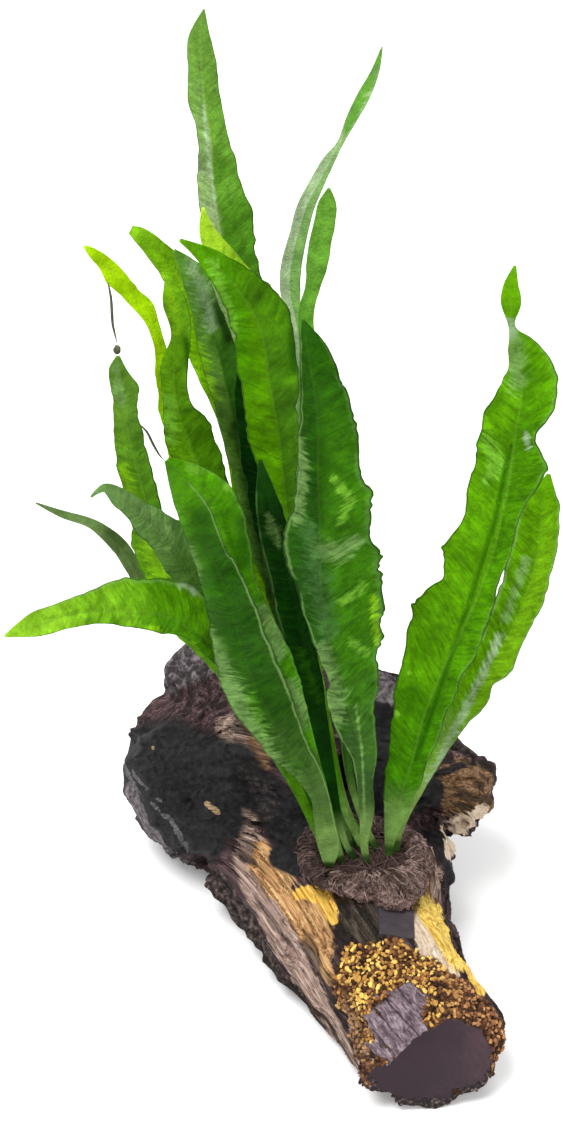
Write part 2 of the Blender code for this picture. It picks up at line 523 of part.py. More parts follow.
def make_leaf(name, foot, stations, parts):
    """A thin blade: a grid laid along the midrib, then given its thickness."""
    rows = filled_rows(leaf_rows(foot, stations))
    last = len(rows) - 1
    ribs = [Vector(row[:3]) for row in rows]
    columns = 4 if max(row[3] + row[4] for row in rows) > BROAD_LEAF else 2
    bpy.ops.mesh.primitive_grid_add(x_subdivisions=columns, y_subdivisions=last, size=2)
    leaf = bpy.context.active_object
    leaf.name = name
    for vert in leaf.data.vertices:
        step = round((vert.co.y + 1) / 2 * last)
        across = vert.co.x
        left = max(rows[step][3], NARROWEST_HALF)
        right = max(rows[step][4], NARROWEST_HALF)
        turn = math.radians(rows[step][5])
        along = (ribs[min(step + 1, last)] - ribs[max(step - 1, 0)]).normalized()
        into = (ribs[step] - EYE).normalized()
        side = into.cross(along).normalized()
        away = along.cross(side)
        away = away if away.dot(into) > 0 else -away
        turned = side * math.cos(turn) + away * math.sin(turn)
        facing = away * math.cos(turn) - side * math.sin(turn)
        width = right if across > 0 else left
        point = ribs[step] + turned * (across * width) - facing * (BLADE_CUP * width * across ** 2)
        vert.co = point * MM
    move_to(leaf, parts)
    thick = leaf.modifiers.new("thickness", "SOLIDIFY")
    thick.thickness = LEAF_THICKNESS * MM
    thick.offset = 0
    leaf.data.materials.append(principled(name, LEAF_GREENS.get(name, DEEP_GREEN), 0.35))
    leaf.data.shade_smooth()
    return leaf


def make_stalk_room(cutters):
    """The hollow that the foot of the leaves stands in: a short upright drum."""
    bpy.ops.mesh.primitive_cylinder_add(vertices=20, radius=1, depth=2)
    drum = bpy.context.active_object
    drum.name = "cut_stalk_room"
    for vert in drum.data.vertices:
        for axis in range(3):
            vert.co[axis] = (vert.co[axis] * STALK_ROOM_RADII[axis] + STALK_ROOM_MIDDLE[axis]) * MM
    move_to(drum, cutters)
    hide_cutter(drum)
    return drum


def make_wood(parts, cutters, root_mat, rhizome):
    """The log in its three limbs, parted at the forks, flat below and sawn at the front."""
    form = make_wood_form(cutters)
    floor = half_space("cut_underside", (0, 0, 0), (0, 0, -1), cutters)
    saw = half_space("cut_saw", *SAW_CUT, cutters)
    bevel = half_space("cut_bevel", *CUT_BEVEL, cutters)
    mat_room = grown("cut_root_mat", root_mat.data, MAT_ROOM, cutters)
    rhizome_room = grown("cut_rhizome", rhizome.data, TOUCH_GAP, cutters)
    past_left = half_space("cut_past_left_fork", *LEFT_FORK, cutters)
    past_right = half_space("cut_past_right_fork", *RIGHT_FORK, cutters)
    bark = principled("driftwood", BARK_BROWN, 0.85)

    front = add_object("driftwood_front_branch", form.copy(), parts, bark)
    left = add_object("driftwood_left_limb", form.copy(), parts, bark)
    right = add_object("driftwood_right_stub", form.copy(), parts, bark)
    for limb in (front, left, right):
        carve(limb, floor)
        limb.data.shade_smooth()
    stalk_room = make_stalk_room(cutters)
    for cutter in (saw, bevel, past_left, past_right, mat_room, rhizome_room, stalk_room):
        carve(front, cutter)
    carve(left, past_right)
    for limb, fork in ((left, LEFT_FORK), (right, RIGHT_FORK)):
        point = Vector(fork[0]) + Vector(fork[1]).normalized() * FORK_GAP
        keep = half_space(f"keep_{limb.name}", point, fork[1], cutters)
        carve(limb, keep, "INTERSECT")
    return front, left, right


def main():
    remove_default_objects()
    parts = new_collection("java_fern_on_driftwood")
    cutters = new_collection("cutters")
    root_mat = make_root_mat(parts, cutters)
    rhizome = make_rhizome(parts)
    carve(root_mat, grown("cut_mat_for_rhizome", rhizome.data, TOUCH_GAP, cutters))
    make_wood(parts, cutters, root_mat, rhizome)
    for name, (foot, stations) in LEAVES.items():
        make_leaf(name, foot, stations, parts)


main()
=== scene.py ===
# %% [markdown]
# # A java fern on driftwood
# A bunch of long strap leaves grows from a creeping stem, the rhizome. Its roots grip a forked,
# weathered log whose front branch was sawn off. The solids of every piece come from the packed
# model, and this lesson builds the surfaces that the eye sees: bark and its crumbs, root fibres,
# and blades with veins, wavy edges and gloss.
# Everything is in metres. The +X axis runs to the right, +Y away from the viewer and +Z up.

# %% Load the model that the looks are built around
import math
from collections import namedtuple
from contextlib import contextmanager
from itertools import product

import bpy
import numpy as np
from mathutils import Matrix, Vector, noise


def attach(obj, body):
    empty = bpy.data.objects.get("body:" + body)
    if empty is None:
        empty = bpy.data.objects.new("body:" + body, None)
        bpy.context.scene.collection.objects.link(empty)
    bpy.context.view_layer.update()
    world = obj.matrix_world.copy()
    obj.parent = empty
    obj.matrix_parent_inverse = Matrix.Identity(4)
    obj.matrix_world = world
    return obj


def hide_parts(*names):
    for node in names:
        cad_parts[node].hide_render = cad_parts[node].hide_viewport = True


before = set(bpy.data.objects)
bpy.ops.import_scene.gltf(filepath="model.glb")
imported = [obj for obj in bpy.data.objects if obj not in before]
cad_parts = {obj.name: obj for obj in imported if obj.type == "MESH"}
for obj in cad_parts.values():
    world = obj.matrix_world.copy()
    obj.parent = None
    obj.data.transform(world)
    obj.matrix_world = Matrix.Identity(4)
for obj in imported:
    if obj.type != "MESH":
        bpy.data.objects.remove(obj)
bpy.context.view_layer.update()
print("nodes:", len(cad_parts))

# %% [markdown]
# ## Where the photograph was taken from
# The camera stands in front of the plant and looks down by 40 degrees through a long lens. It is
# placed so that the foot of the plant shows at its pixel, at 3.3 pixels to the millimetre. The
# leaves need the same eye point, because each blade is laid out square to the line of sight.

# %% The eye point and the camera
MM = 0.001
PHOTO_MIDDLE = (281.5, 574.0)
PHOTO_HEIGHT = 1148.0
LENS = 80.0
SENSOR = 36.0
VIEW_TILT = math.radians(40)
FOOT_PIXEL = (362.0, 866.0)
FOOT_SCALE = 3.3
CROWN_HEIGHT = 45.0

FOCAL = LENS / SENSOR * PHOTO_HEIGHT
ACROSS_VIEW = np.array((1.0, 0.0, 0.0))
UP_VIEW = np.array((0.0, math.sin(VIEW_TILT), math.cos(VIEW_TILT)))
INTO_VIEW = np.array((0.0, math.cos(VIEW_TILT), -math.sin(VIEW_TILT)))
EYE = (np.array((0.0, 0.0, CROWN_HEIGHT))
       - ACROSS_VIEW * (FOOT_PIXEL[0] - PHOTO_MIDDLE[0]) / FOOT_SCALE
       + UP_VIEW * (FOOT_PIXEL[1] - PHOTO_MIDDLE[1]) / FOOT_SCALE
       - INTO_VIEW * FOCAL / FOOT_SCALE)

camera_data = bpy.data.cameras.new("photograph")
camera_data.lens = LENS
camera_data.sensor_width = SENSOR
camera_data.clip_end = 10
camera = bpy.data.objects.new("camera", camera_data)
camera.location = EYE * MM
camera.rotation_euler = (math.pi / 2 - VIEW_TILT, 0, 0)
bpy.context.scene.collection.objects.link(camera)
bpy.context.scene.camera = camera
print("eye, mm:", EYE.round(1))


# %% [markdown]
# ## Hand tools
# These small helpers stand for what a hand does in Blender: pick an object, name it, join some,
# edit one, apply a modifier, and read or move a mesh's points as one array. The points are kept in
# millimetres while they are shaped, because every size of the plant is known in millimetres.

# %% Helpers for objects and points
def pick(item):
    bpy.ops.object.select_all(action="DESELECT")
    item.select_set(True)
    bpy.context.view_layer.objects.active = item


def apply_modifier(item, kind, **settings):
    pick(item)
    modifier = item.modifiers.new("step", kind)
    for name, value in settings.items():
        setattr(modifier, name, value)
    bpy.ops.object.modifier_apply(modifier=modifier.name)


def name_new(name):
    """Name the piece that was just made, and its mesh."""
    item = bpy.context.active_object
    item.name = name
    item.data.name = name
    return item


def join(name, items):
    bpy.ops.object.select_all(action="DESELECT")
    for item in items:
        item.select_set(True)
    bpy.context.view_layer.objects.active = items[0]
    bpy.ops.object.join()
    return name_new(name)


@contextmanager
def editing(item):
    """Edit mode on one object, with all of it selected at first."""
    pick(item)
    bpy.ops.object.mode_set(mode="EDIT")
    bpy.ops.mesh.select_all(action="SELECT")
    yield
    bpy.ops.object.mode_set(mode="OBJECT")


def vectors_of(things, field):
    """Three numbers of every point or face, as the rows of one array."""
    flat = np.zeros(len(things) * 3)
    things.foreach_get(field, flat)
    return flat.reshape(-1, 3)


def points_of(item):
    return vectors_of(item.data.vertices, "co") / MM


def normals_of(item):
    return vectors_of(item.data.vertex_normals, "vector")


def move_points(item, points):
    item.data.vertices.foreach_set("co", (points * MM).ravel())
    item.data.update()


def paint(item, name, values):
    """Keep a number, or a vector, at every point of the mesh, for the material to read."""
    kind = "FLOAT" if values.ndim == 1 else "FLOAT_VECTOR"
    layer = item.data.attributes.new(name, kind, "POINT")
    layer.data.foreach_set("value" if values.ndim == 1 else "vector", values.ravel().astype(np.float32))


def triangles(item):
    return sum(len(face.vertices) - 2 for face in item.data.polygons)


bpy.ops.object.select_all(action="DESELECT")
print("nothing is selected now:", len(bpy.context.selected_objects))


# %% [markdown]
# ## Random but repeatable
# Bark, roots and leaf edges need numbers that wander smoothly from place to place. This noise fills
# a small block with seeded random numbers and blends between the eight nearest ones, for all the
# points of a mesh at once. The same seed always gives the same surface.

# %% Smooth noise for many points
LATTICE = 32


def wander(points, spacing, seed):
    """Smooth noise between about -1 and 1, whose blobs are `spacing` mm wide."""
    table = np.random.default_rng(seed).uniform(-1, 1, (LATTICE,) * 3)
    cells = points / spacing
    low = np.floor(cells).astype(int)
    part = cells - low
    part = part * part * (3 - 2 * part)
    total = np.zeros(len(points))
    for corner in product((0, 1), repeat=3):
        share = np.prod(np.where(corner, part, 1 - part), axis=1)
        x, y, z = ((low + corner) % LATTICE).T
        total += share * table[x, y, z]
    return total * 1.5


def ridged(points, spacing, seed):
    """Noise with sharp crests: 1 on a crest and about 0 between two."""
    return 1 - np.abs(wander(points, spacing, seed)) * 2


def soft_step(values, low, high):
    share = np.clip((values - low) / (high - low), 0, 1)
    return share * share * (3 - 2 * share)


print("noise at the origin:", wander(np.zeros((1, 3)), 5, 1).round(3))


# %% [markdown]
# ## Writing materials as sums
# A material is easier to read as `dark + light * mask` than as a web of nodes. `Value` wraps a
# node's socket and turns each sign into a Math node, and `Finish` adds every other kind of node
# with one method. Colours are blended by `mix`, because a Math node would turn them grey.

# %% The material kit
class Value:
    """A socket that sums can be written on."""

    def __init__(self, finish, socket):
        self.finish = finish
        self.socket = socket

    def maths(self, operation, first, second=None):
        sockets = {0: first} if second is None else {0: first, 1: second}
        return self.finish.node("ShaderNodeMath", {"operation": operation}, sockets)

    def __add__(self, other):
        return self.maths("ADD", self, other)

    def __sub__(self, other):
        return self.maths("SUBTRACT", self, other)

    def __mul__(self, other):
        return self.maths("MULTIPLY", self, other)

    def __radd__(self, other):
        return self.maths("ADD", other, self)

    def __rsub__(self, other):
        return self.maths("SUBTRACT", other, self)

    def __abs__(self):
        return self.maths("ABSOLUTE", self)

    def sine(self):
        return self.maths("SINE", self)

    def step(self, low, high):
        """0 below `low`, 1 above `high`, with a soft rise between."""
        return self.finish.node("ShaderNodeMapRange", {"interpolation_type": "SMOOTHSTEP"},
                                {"Value": self, "From Min": low, "From Max": high})


class Finish:
    """A material whose nodes are added one at a time."""

    def __init__(self, name, **shader):
        self.material = bpy.data.materials.new(name)
        self.material.use_nodes = True
        self.tree = self.material.node_tree
        self.shader = self.tree.nodes["Principled BSDF"]
        for socket, value in shader.items():
            self.shader.inputs[socket.replace("_", " ")].default_value = value

    def link(self, socket, value):
        if isinstance(value, Value):
            self.tree.links.new(value.socket, socket)
        elif socket.type == "RGBA" and len(value) == 3:
            socket.default_value = (*value, 1.0)
        else:
            socket.default_value = value

    def node(self, kind, settings=None, sockets=None, output=0):
        made = self.tree.nodes.new(kind)
        for name, value in (settings or {}).items():
            setattr(made, name, value)
        for name, value in (sockets or {}).items():
            self.link(made.inputs[name], value)
        return Value(self, made.outputs[output])

    def mix(self, share, first, second, blend="MIX"):
        return self.node("ShaderNodeMix", {"data_type": "RGBA", "blend_type": blend, "clamp_factor": True},
                         {0: share, 6: first, 7: second}, 2)

    def attribute(self, name, output="Fac"):
        return self.node("ShaderNodeAttribute", {"attribute_name": name}, None, output)

    def place(self):
        """The point of the surface, in millimetres."""
        here = self.node("ShaderNodeTexCoord", None, None, "Object")
        return self.stretch(here, (1 / MM, 1 / MM, 1 / MM))

    def stretch(self, vector, scale):
        return self.node("ShaderNodeVectorMath", {"operation": "MULTIPLY"}, {0: vector, 1: scale})

    def split(self, vector):
        """The vector's x, y and z, each as a number."""
        parts = self.node("ShaderNodeSeparateXYZ", None, {0: vector}).socket.node
        return [Value(self, socket) for socket in parts.outputs]

    def noise(self, vector, scale, detail=3.0, roughness=0.55, distortion=0.0):
        sockets = {"Vector": vector, "Scale": scale, "Detail": detail, "Roughness": roughness,
                   "Distortion": distortion}
        return self.node("ShaderNodeTexNoise", None, sockets)

    def net(self, vector, scale):
        """How far a point is from the nearest line of a net."""
        return self.node("ShaderNodeTexVoronoi", {"feature": "DISTANCE_TO_EDGE"},
                         {"Vector": vector, "Scale": scale}, "Distance")

    def ramp(self, share, *stops):
        made = self.tree.nodes.new("ShaderNodeValToRGB")
        line = made.color_ramp.elements
        while len(line) < len(stops):
            line.new(0.5)
        for element, (place, colour) in zip(line, stops):
            element.position = place
            element.color = (*colour, 1.0)
        self.link(made.inputs[0], share)
        return Value(self, made.outputs[0])

    def wear(self, colour=None, roughness=None, height=None, relief=0.3, depth_mm=0.3):
        """Plug the finished colour, roughness and height into the shader."""
        if colour is not None:
            self.link(self.shader.inputs["Base Color"], colour)
        if roughness is not None:
            self.link(self.shader.inputs["Roughness"], roughness)
        if height is not None:
            bump = self.node("ShaderNodeBump", None,
                             {"Strength": relief, "Distance": depth_mm * MM, "Height": height}, "Normal")
            self.link(self.shader.inputs["Normal"], bump)


print("material kit ready")


# %% [markdown]
# ## Grids bent into shape
# Both a round limb and a leaf are long forms that follow a line. A flat grid is the same start for
# both: its rows go along the line, and its columns go round the limb or across the blade. One
# smooth curve through a few rows of numbers gives the place and the width of every row.

# %% Rows on a smooth curve, and the grid that follows them
def smooth_rows(rows, places):
    """The rows of numbers at fractional places along the list, on a smooth curve through them."""
    rows = np.asarray(rows, float)
    last = len(rows) - 1
    first = np.minimum(places.astype(int), last - 1)
    t = (places - first)[:, None]
    a, b = rows[np.maximum(first - 1, 0)], rows[first]
    c, d = rows[first + 1], rows[np.minimum(first + 2, last)]
    return 0.5 * (2 * b + (c - a) * t + (2 * a - 5 * b + 4 * c - d) * t * t
                  + (3 * b - a - 3 * c + d) * t ** 3)


CURVE_STEPS = 400


def even_rows(rows, count):
    """`count` + 1 rows at even distances along the curve through the rows' first three numbers."""
    fine = np.linspace(0, len(rows) - 1, CURVE_STEPS + 1)
    gaps = np.linalg.norm(np.diff(smooth_rows(rows, fine)[:, :3], axis=0), axis=1)
    reached = np.concatenate(([0.0], np.cumsum(gaps)))
    wanted = np.linspace(0, reached[-1], count + 1)
    return smooth_rows(rows, np.interp(wanted, reached, fine)), wanted


def flat_grid(name, columns, rows):
    """A grid primitive, with each point's place across (-1 to 1) and the number of its row."""
    bpy.ops.object.select_all(action="DESELECT")
    bpy.ops.mesh.primitive_grid_add(x_subdivisions=columns, y_subdivisions=rows, size=2)
    grid = name_new(name)
    flat = points_of(grid) * MM
    return grid, flat[:, 0], np.rint((flat[:, 1] + 1) / 2 * rows).astype(int)


def unit(vectors):
    return vectors / np.linalg.norm(vectors, axis=1, keepdims=True)


def rolled(middles, ways, radii, upright, across, row):
    """The points of a flat grid when it is rolled round a line, with one ring at every row."""
    level = unit(np.cross(ways, upright))
    raised = np.cross(level, ways)
    turn = across[:, None] * math.pi
    spoke = level[row] * np.cos(turn) + raised[row] * np.sin(turn)
    return middles[row] + spoke * radii[row, None]


WELD = 0.005


def round_limb(name, sections, steps, sides):
    """A grid rolled into a closed tube through the sections (x, y, z, radius)."""
    rows, _ = even_rows(sections, steps)
    middles = np.vstack((rows[:1], rows, rows[-1:]))
    middles[0, 3] = middles[-1, 3] = 0.0
    ways = unit(np.gradient(rows[:, :3], axis=0))
    ways = np.vstack((ways[:1], ways, ways[-1:]))
    tube, across, row = flat_grid(name, sides, len(middles) - 1)
    move_points(tube, rolled(middles[:, :3], ways, middles[:, 3], (0.05, 0.02, 1.0), across, row))
    with editing(tube):
        bpy.ops.mesh.remove_doubles(threshold=WELD * MM)
        bpy.ops.mesh.normals_make_consistent(inside=False)
    return tube


print("curve and grid tools ready")

# %% [markdown]
# ## The log
# The real log is one piece of old root wood with two forks. Sculpting it by hand would be slow and
# hard to repeat, so its limbs are rolled from grids, joined, and wrapped in one skin of small
# square faces by the voxel remesh. The model's solids are the same limbs in coarse facets, so the
# fine skin lies on them.

# %% The limbs, joined and wrapped in one skin
# Each limb is a line of sections (x, y, z, radius), in mm
LIMBS = {
    "front": ((-10, 36, 19, 27), (1, 14, 15.5, 27), (4.5, -6, 15.5, 24.5), (13, -30, 17, 23),
              (19.3, -43, 17, 22), (21.5, -52, 16.5, 20.3), (23, -59, 16.5, 18)),
    "flank": ((-30, 34, 18, 22), (-15, 10, 15, 20.5), (-5, -10, 13, 18), (5, -30, 12, 13),
              (10, -40, 12, 8)),
    "left": ((-6, 42, 28, 26), (-30, 51, 29, 30), (-49, 58, 27, 29), (-61, 62, 24.5, 24.5),
             (-69.5, 64, 22, 15)),
    "cap": ((-30, 70, 42, 18), (-46, 77, 48, 17.5), (-54.5, 78, 47, 14), (-58.5, 78, 45, 9)),
    "shoulder": ((-50, 74, 45, 13), (-56, 73.5, 48, 10), (-59, 73, 50, 7.5)),
    "back": ((-34, 66, 40, 20), (-10, 62, 44, 20), (4, 59, 46, 18.5), (12, 57, 45, 15)),
    "right": ((0, 44, 36, 22), (16, 44, 38, 18.5), (30, 44, 34.5, 14.5), (39.5, 41, 31.5, 12)),
    "lip": ((16, 40, 30, 10), (20.5, 26, 27.5, 8.5), (21, 10, 24, 6.5)),
}
# The saw cut and the bevel above it are planes: a point on each, and the way it faces
SAW_CUT = ((21, -53.7, 17), (0.12, -1.0, 0.16))
CUT_BEVEL = ((9.0, -47.9, 29.1), (-0.5, -0.66, 0.56))
BEVEL_LOWEST, BEVEL_REACH = 20.0, 10.5
# The stalks stand in a hollow on top of the log
STALK_ROOM_MIDDLE = np.array((0.0, 5.0))
STALK_ROOM_RADII = np.array((14.5, 12.5))
STALK_ROOM_FLOOR = 42.4
LIMB_STEPS, LIMB_SIDES = 40, 32
BARK_VOXEL = 0.7
SOFTEN_STEPS = 30

limbs = [round_limb(f"limb_{name}", sections, LIMB_STEPS, LIMB_SIDES) for name, sections in LIMBS.items()]
log = join("driftwood_log", limbs)
apply_modifier(log, "REMESH", mode="VOXEL", voxel_size=BARK_VOXEL * MM)
apply_modifier(log, "SMOOTH", iterations=SOFTEN_STEPS)
print("log skin:", triangles(log), "triangles")

# %% [markdown]
# ### The way the grain runs
# Wood splits along its fibres, so every ridge, crack and stain on the log is stretched along the
# grain. At each point the nearest limbs say which way that is. The point's place across the grain,
# with its place along it squeezed, gives a set of coordinates in which plain noise looks like
# fibres. The shaping below and the materials both use it.

# %% Grain coordinates
DOWN_THE_LOG = np.array((0.3, -1.0, 0.0))
GRAIN_BLEND = 4.0


def grain_direction(points):
    total = np.zeros_like(points)
    for sections in LIMBS.values():
        for start, end in zip(sections, sections[1:]):
            a, b = np.array(start[:3], float), np.array(end[:3], float)
            axis = b - a
            share = np.clip((points - a) @ axis / (axis @ axis), 0, 1)
            distance = np.linalg.norm(points - a - share[:, None] * axis, axis=1)
            along = axis / np.linalg.norm(axis)
            along = along if along @ DOWN_THE_LOG > 0 else -along
            total += along * np.exp(-distance / GRAIN_BLEND)[:, None]
    return unit(total)


def grain_space(points, squeeze):
    """Coordinates in mm across the grain, with distances along it made `squeeze` times shorter."""
    along = grain_direction(points)
    run = np.sum(points * along, axis=1, keepdims=True)
    return points - along * run + along * (run / squeeze)


print("grain at the front branch:", grain_direction(np.array([[10.0, -30.0, 38.0]])).round(2))

# %% [markdown]
# ### What lies where on the bark
# The log is a patchwork: charred black, reddish brown, ochre and yellow stains, pale torn fibres.
# Some zones are painted light: painted shade on the low left flank, in dents, between the lobes and
# round the foot of the leaves, and painted highlights along the rim of the charred face. Each zone is
# a few broad strokes over places on the log. A point's number in a zone is 1 along the middle of a
# stroke and 0 at its edge, and the bark's material turns these into ragged patches.

# %% Zones of the bark
# Each zone is a few strokes, and a stroke is a line of places (x, y, z, radius), in mm
ZONES = {
    # Charred wood on the left lobe; the strokes from the pit between the lobes round the foot of the leaves
    # to the fork are painted shade
    "charcoal_and_shade": (((-72, 52, 40, 15), (-63, 45, 44, 17), (-52, 38, 47, 16), (-41, 34, 51, 12)),
                 ((-66, 38, 30, 16), (-54, 30, 34, 17), (-44, 25, 40, 10)),
                 ((-36, 30, 50, 9), (-30, 27, 48, 8)),
                 ((-22, 22, 42, 10), (-14, 20, 42, 9)), ((-26, 12, 37, 5), (-19, 8, 38, 5)),
                 ((20, 32, 42, 6), (22, 32, 46, 5)),
                 ((19, 23, 38, 5), (25, 24, 33, 4), (28, 16, 29, 3.5), (28, 9, 27, 2)),
                 ((2, 30, 50, 12), (12, 30, 48, 9), (8, 50, 60, 12))),
    "greyed": (((-60, 74, 57, 8), (-49, 75, 63, 9), (-40, 74, 64, 8)), ((9, 61, 63, 9),),
               ((-73, 45, 30, 5), (-70, 40, 27, 5), (-64, 36, 19.5, 5), (-58, 39, 8.6, 5))),
    "brown": (((28, 34, 49, 6), (33, 36, 44, 9), (38, 39, 40, 9), (39, 39, 33, 6)),
              ((34, 33, 38, 7), (30, 31, 39, 5)),
              ((14, -4, 38, 5), (20, 0, 36, 4)), ((17, 14, 38, 6), (21, 6, 35, 6), (22.5, -3, 33, 5)),
              ((-36, 52, 59, 4), (-32.5, 43, 56, 6), (-31, 36, 54, 4)), ((-8, -3, 37, 6), (1, -6, 39, 6))),
    "fibre": (((-36.4, 23.6, 40.7, 5), (-34, 16, 34, 7), (-31, 6, 29, 8.5), (-26.5, -4, 26, 9),
               (-21, -14, 21, 10), (-16, -24, 16, 10), (-11, -34, 11, 11), (-4, -46, 8, 11)),
              ((-41.5, 49, 59, 4.5), (-39.5, 44, 57, 5), (-38, 39, 55.5, 4)),
              ((15, -8, 38, 5), (19, -17, 38.5, 7), (24, -28, 38, 6)), ((24, 10, 31, 3), (24.5, 2, 31, 4))),
    "ochre": (((-31, 17, 34.4, 4), (-29.5, 12, 33, 6), (-26, 4, 32.5, 6)),
              ((-21, -3, 32.5, 6), (-17, -9, 32.5, 7.5), (-14, -16, 32, 7), (-12, -23, 31, 6),
               (-10.5, -29, 29.5, 4))),
    "cream": (((38, 34, 31.5, 5), (33, 30, 30.5, 6), (29, 27, 29, 5), (27, 20, 29, 3)),
              ((18.5, -13, 38, 3), (18.6, -20, 38, 5), (20.5, -29, 39.6, 5), (25, -37, 38.6, 4))),
    "moss": (((-7, -10, 36, 5), (-2, -17, 38, 5.5), (3, -22, 39, 4)), ((3, -12, 38, 4),)),
    "shade": (((-46, 17, 10, 14), (-34, -2, 6, 13), (-26, -14, 3, 9)), ((-42, 18, 18, 7), (-37, 8, 13, 7))),
    # Soot, and painted shade in the pit between the lobes and in the dents
    "soot_and_shade": (((-35, 33, 52, 4), (-31, 28, 49.5, 6), (-29, 25, 45, 5)), ((-54.5, 31, 40, 1.8),),
             ((24, 33, 51, 1.6), (31, 38, 51, 2.0), (38, 43.5, 48, 2.4), (42, 44, 44, 2.4)),
             ((27, 52, 51, 4), (33, 48, 51, 4), (38, 46, 48, 3))),
    "amber": (((-19, -0.5, 33, 2.6), (-15, -1.2, 34.8, 3.2), (-11.5, -3, 35.5, 3), (-9.8, -8, 35.4, 2.8),
               (-8.6, -13, 35.1, 2)),),
    "yellow": (((21, -7, 34, 6), (24, -14, 34.5, 7.5), (27.5, -22, 34.5, 8), (31, -30, 33.5, 7.5),
                (34, -35, 31, 4)),),
    "splinter": (((-48.5, 28.5, 43.5, 0.9), (-46, 27, 43, 1.3), (-44.2, 25.7, 42, 1.0)),
                 ((-65, 48.5, 47.9, 0.9), (-62.5, 46.5, 48, 1.1))),
    # Scratches, and painted highlights along the lower rim of the charred face
    "scuff_and_rim_highlight": (((-75.7, 54.3, 35, 1.6), (-73.9, 49.5, 34.9, 1.3), (-69.5, 44, 33.6, 1.1),
               (-64.4, 36.2, 34.7, 1.1), (-59.6, 31.5, 32.7, 1.3), (-56.5, 29.5, 28, 1.3),
               (-53.5, 30.5, 20.2, 1.5)),
              ((-74.5, 51, 38, 1.1), (-68, 42, 37.5, 0.8), (-62.5, 35.5, 37.5, 0.9)),
              ((-51.5, 61, 57, 1.3),)),
}
print({name: len(strokes) for name, strokes in ZONES.items()})


# %% How far inside a stroke or a zone each point lies
def stroke_field(points, stroke):
    """1 along the middle of the stroke, 0 at its radius and less beyond it."""
    field = np.full(len(points), -1.0)
    for start, end in zip(stroke, (*stroke[1:], stroke[-1])):
        a, b = np.array(start, float), np.array(end, float)
        line = b[:-1] - a[:-1]
        share = np.clip((points - a[:-1]) @ line / max(line @ line, 1e-9), 0, 1)[:, None]
        distance = np.linalg.norm(points - a[:-1] - share * line, axis=1)
        field = np.maximum(field, 1 - distance / (a[-1] + share[:, 0] * (b[-1] - a[-1])))
    return field


def zone_field(points, name):
    return np.max([stroke_field(points, stroke) for stroke in ZONES[name]], axis=0)


print("the yellow zone at (24, -14, 35):", zone_field(np.array([[24.0, -14.0, 35.0]]), "yellow").round(2))

# %% The band of crumbly bark
# The crumbly bark lies in a band behind the saw cut: how far back it reaches at each x, and how
# low it goes, at each y on the left side and at each x on the right, in mm
BAND_ACROSS = (-14, -9, -5, 3, 11, 20, 28, 34, 40)
BAND_REACH = (5, 22, 29, 27, 26, 17, 12, 11, 8)
LEFT_Y, LEFT_LOWEST = (-52, -46, -40, -35, -30, -25), (12, 16, 20, 23, 29, 34)
RIGHT_X, RIGHT_LOWEST = (14, 28, 36), (25, 16, 8)
# The band thins out over these distances, and a narrow one follows the rim of the cut all round
FADE_BACK, FADE_DOWN, RIM_BAND = 4, 3, 3.2


def crumb_band(points):
    """Over 0 inside the band, about -1 far outside it."""
    behind_cut = -beyond(points, SAW_CUT)
    reach = np.interp(points[:, 0], BAND_ACROSS, BAND_REACH)
    lowest = np.where(points[:, 0] < RIGHT_X[0], np.interp(points[:, 1], LEFT_Y, LEFT_LOWEST),
                      np.interp(points[:, 0], RIGHT_X, RIGHT_LOWEST))
    inside = np.minimum((reach - behind_cut) / FADE_BACK, (points[:, 2] - lowest) / FADE_DOWN)
    rim = (RIM_BAND - behind_cut) / FADE_DOWN
    return np.clip(np.maximum(inside, rim), -1, 1)


print("the band of crumbs reaches back", max(BAND_REACH), "mm at most")

# %% [markdown]
# ### The large weathered shapes
# The log's own ridges and lumps are in the model too, so they are worked out with the same sums and
# sizes here. Then a few places get a dent or a swelling of their own: the dark pit between the
# lobes, the pale knot, the nub on the left side and the crease at the fork. Charred wood and the
# worn end of the left limb stay calmer, and the bottom of the sawn end is rounded up.

# %% Large ridges, dents and swellings
RIDGE_SPACING, RIDGE_STRETCH, RIDGE_HEIGHT, RIDGE_RISE = 10.0, 60.0, 2.5, 0.55
LUMP_SPACING, LUMP_HEIGHT = 19.0, 2.6
LUMP_SHIFT = Vector((7.3, 1.9, 4.1))
# Middle, radius and height in mm; a negative height is a dent
SWELLINGS = (
    ((-31, 27, 48), 6.5, -5.0), ((-36, 31, 51), 4.0, -2.0), ((-54.5, 31, 40), 2.0, -3.0),
    ((-46, 27, 42), 2.6, 1.4), ((-40, 45, 57), 5.0, 1.8), ((-41, 45, 57), 2.0, -1.6),
    ((-74, 46, 29), 2.6, 2.0), ((-35, 17, 30), 5.0, -1.5), ((-37, 21, 38), 4.0, -1.0),
    ((-38, 14, 16), 6.0, -2.0), ((-62, 48, 48), 2.6, 1.0), ((29, 14, 27), 3.0, 1.5),
    ((21, 28, 36), 5.0, -2.5), ((33, 31, 30), 3.5, -1.5), ((45, 44, 49), 7.5, -8.0),
    ((42, 41, 31), 5.0, 3.0), ((31, -18, 26), 12.0, -3.0), ((27, 4, 28), 8.0, -1.5),
    ((-62, 79, 58), 7.0, -1.5), ((-71, 63, 49), 8.0, -4.0), ((-68, 71, 49), 6.0, 3.5),
    ((8, 62, 64), 8.0, -1.5), ((-26, -9, 8), 8.0, -1.0), ((-7, -45, 8), 8.0, 1.2),
)
CHAR_CALM, CAP_CALM = 0.55, 0.75
CAP_MIDDLE, CAP_RADIUS = np.array((-60, 72, 53)), 18
END_LIFT, LIFT_FROM, LIFT_OVER, LIFT_LOW, LIFT_HIGH = 4.2, -40.0, 9.0, -4, 14


def cap_share(points):
    """1 on the worn, even end of the left limb, 0 away from it."""
    return np.exp(-(np.linalg.norm(points - CAP_MIDDLE, axis=1) / CAP_RADIUS) ** 4)


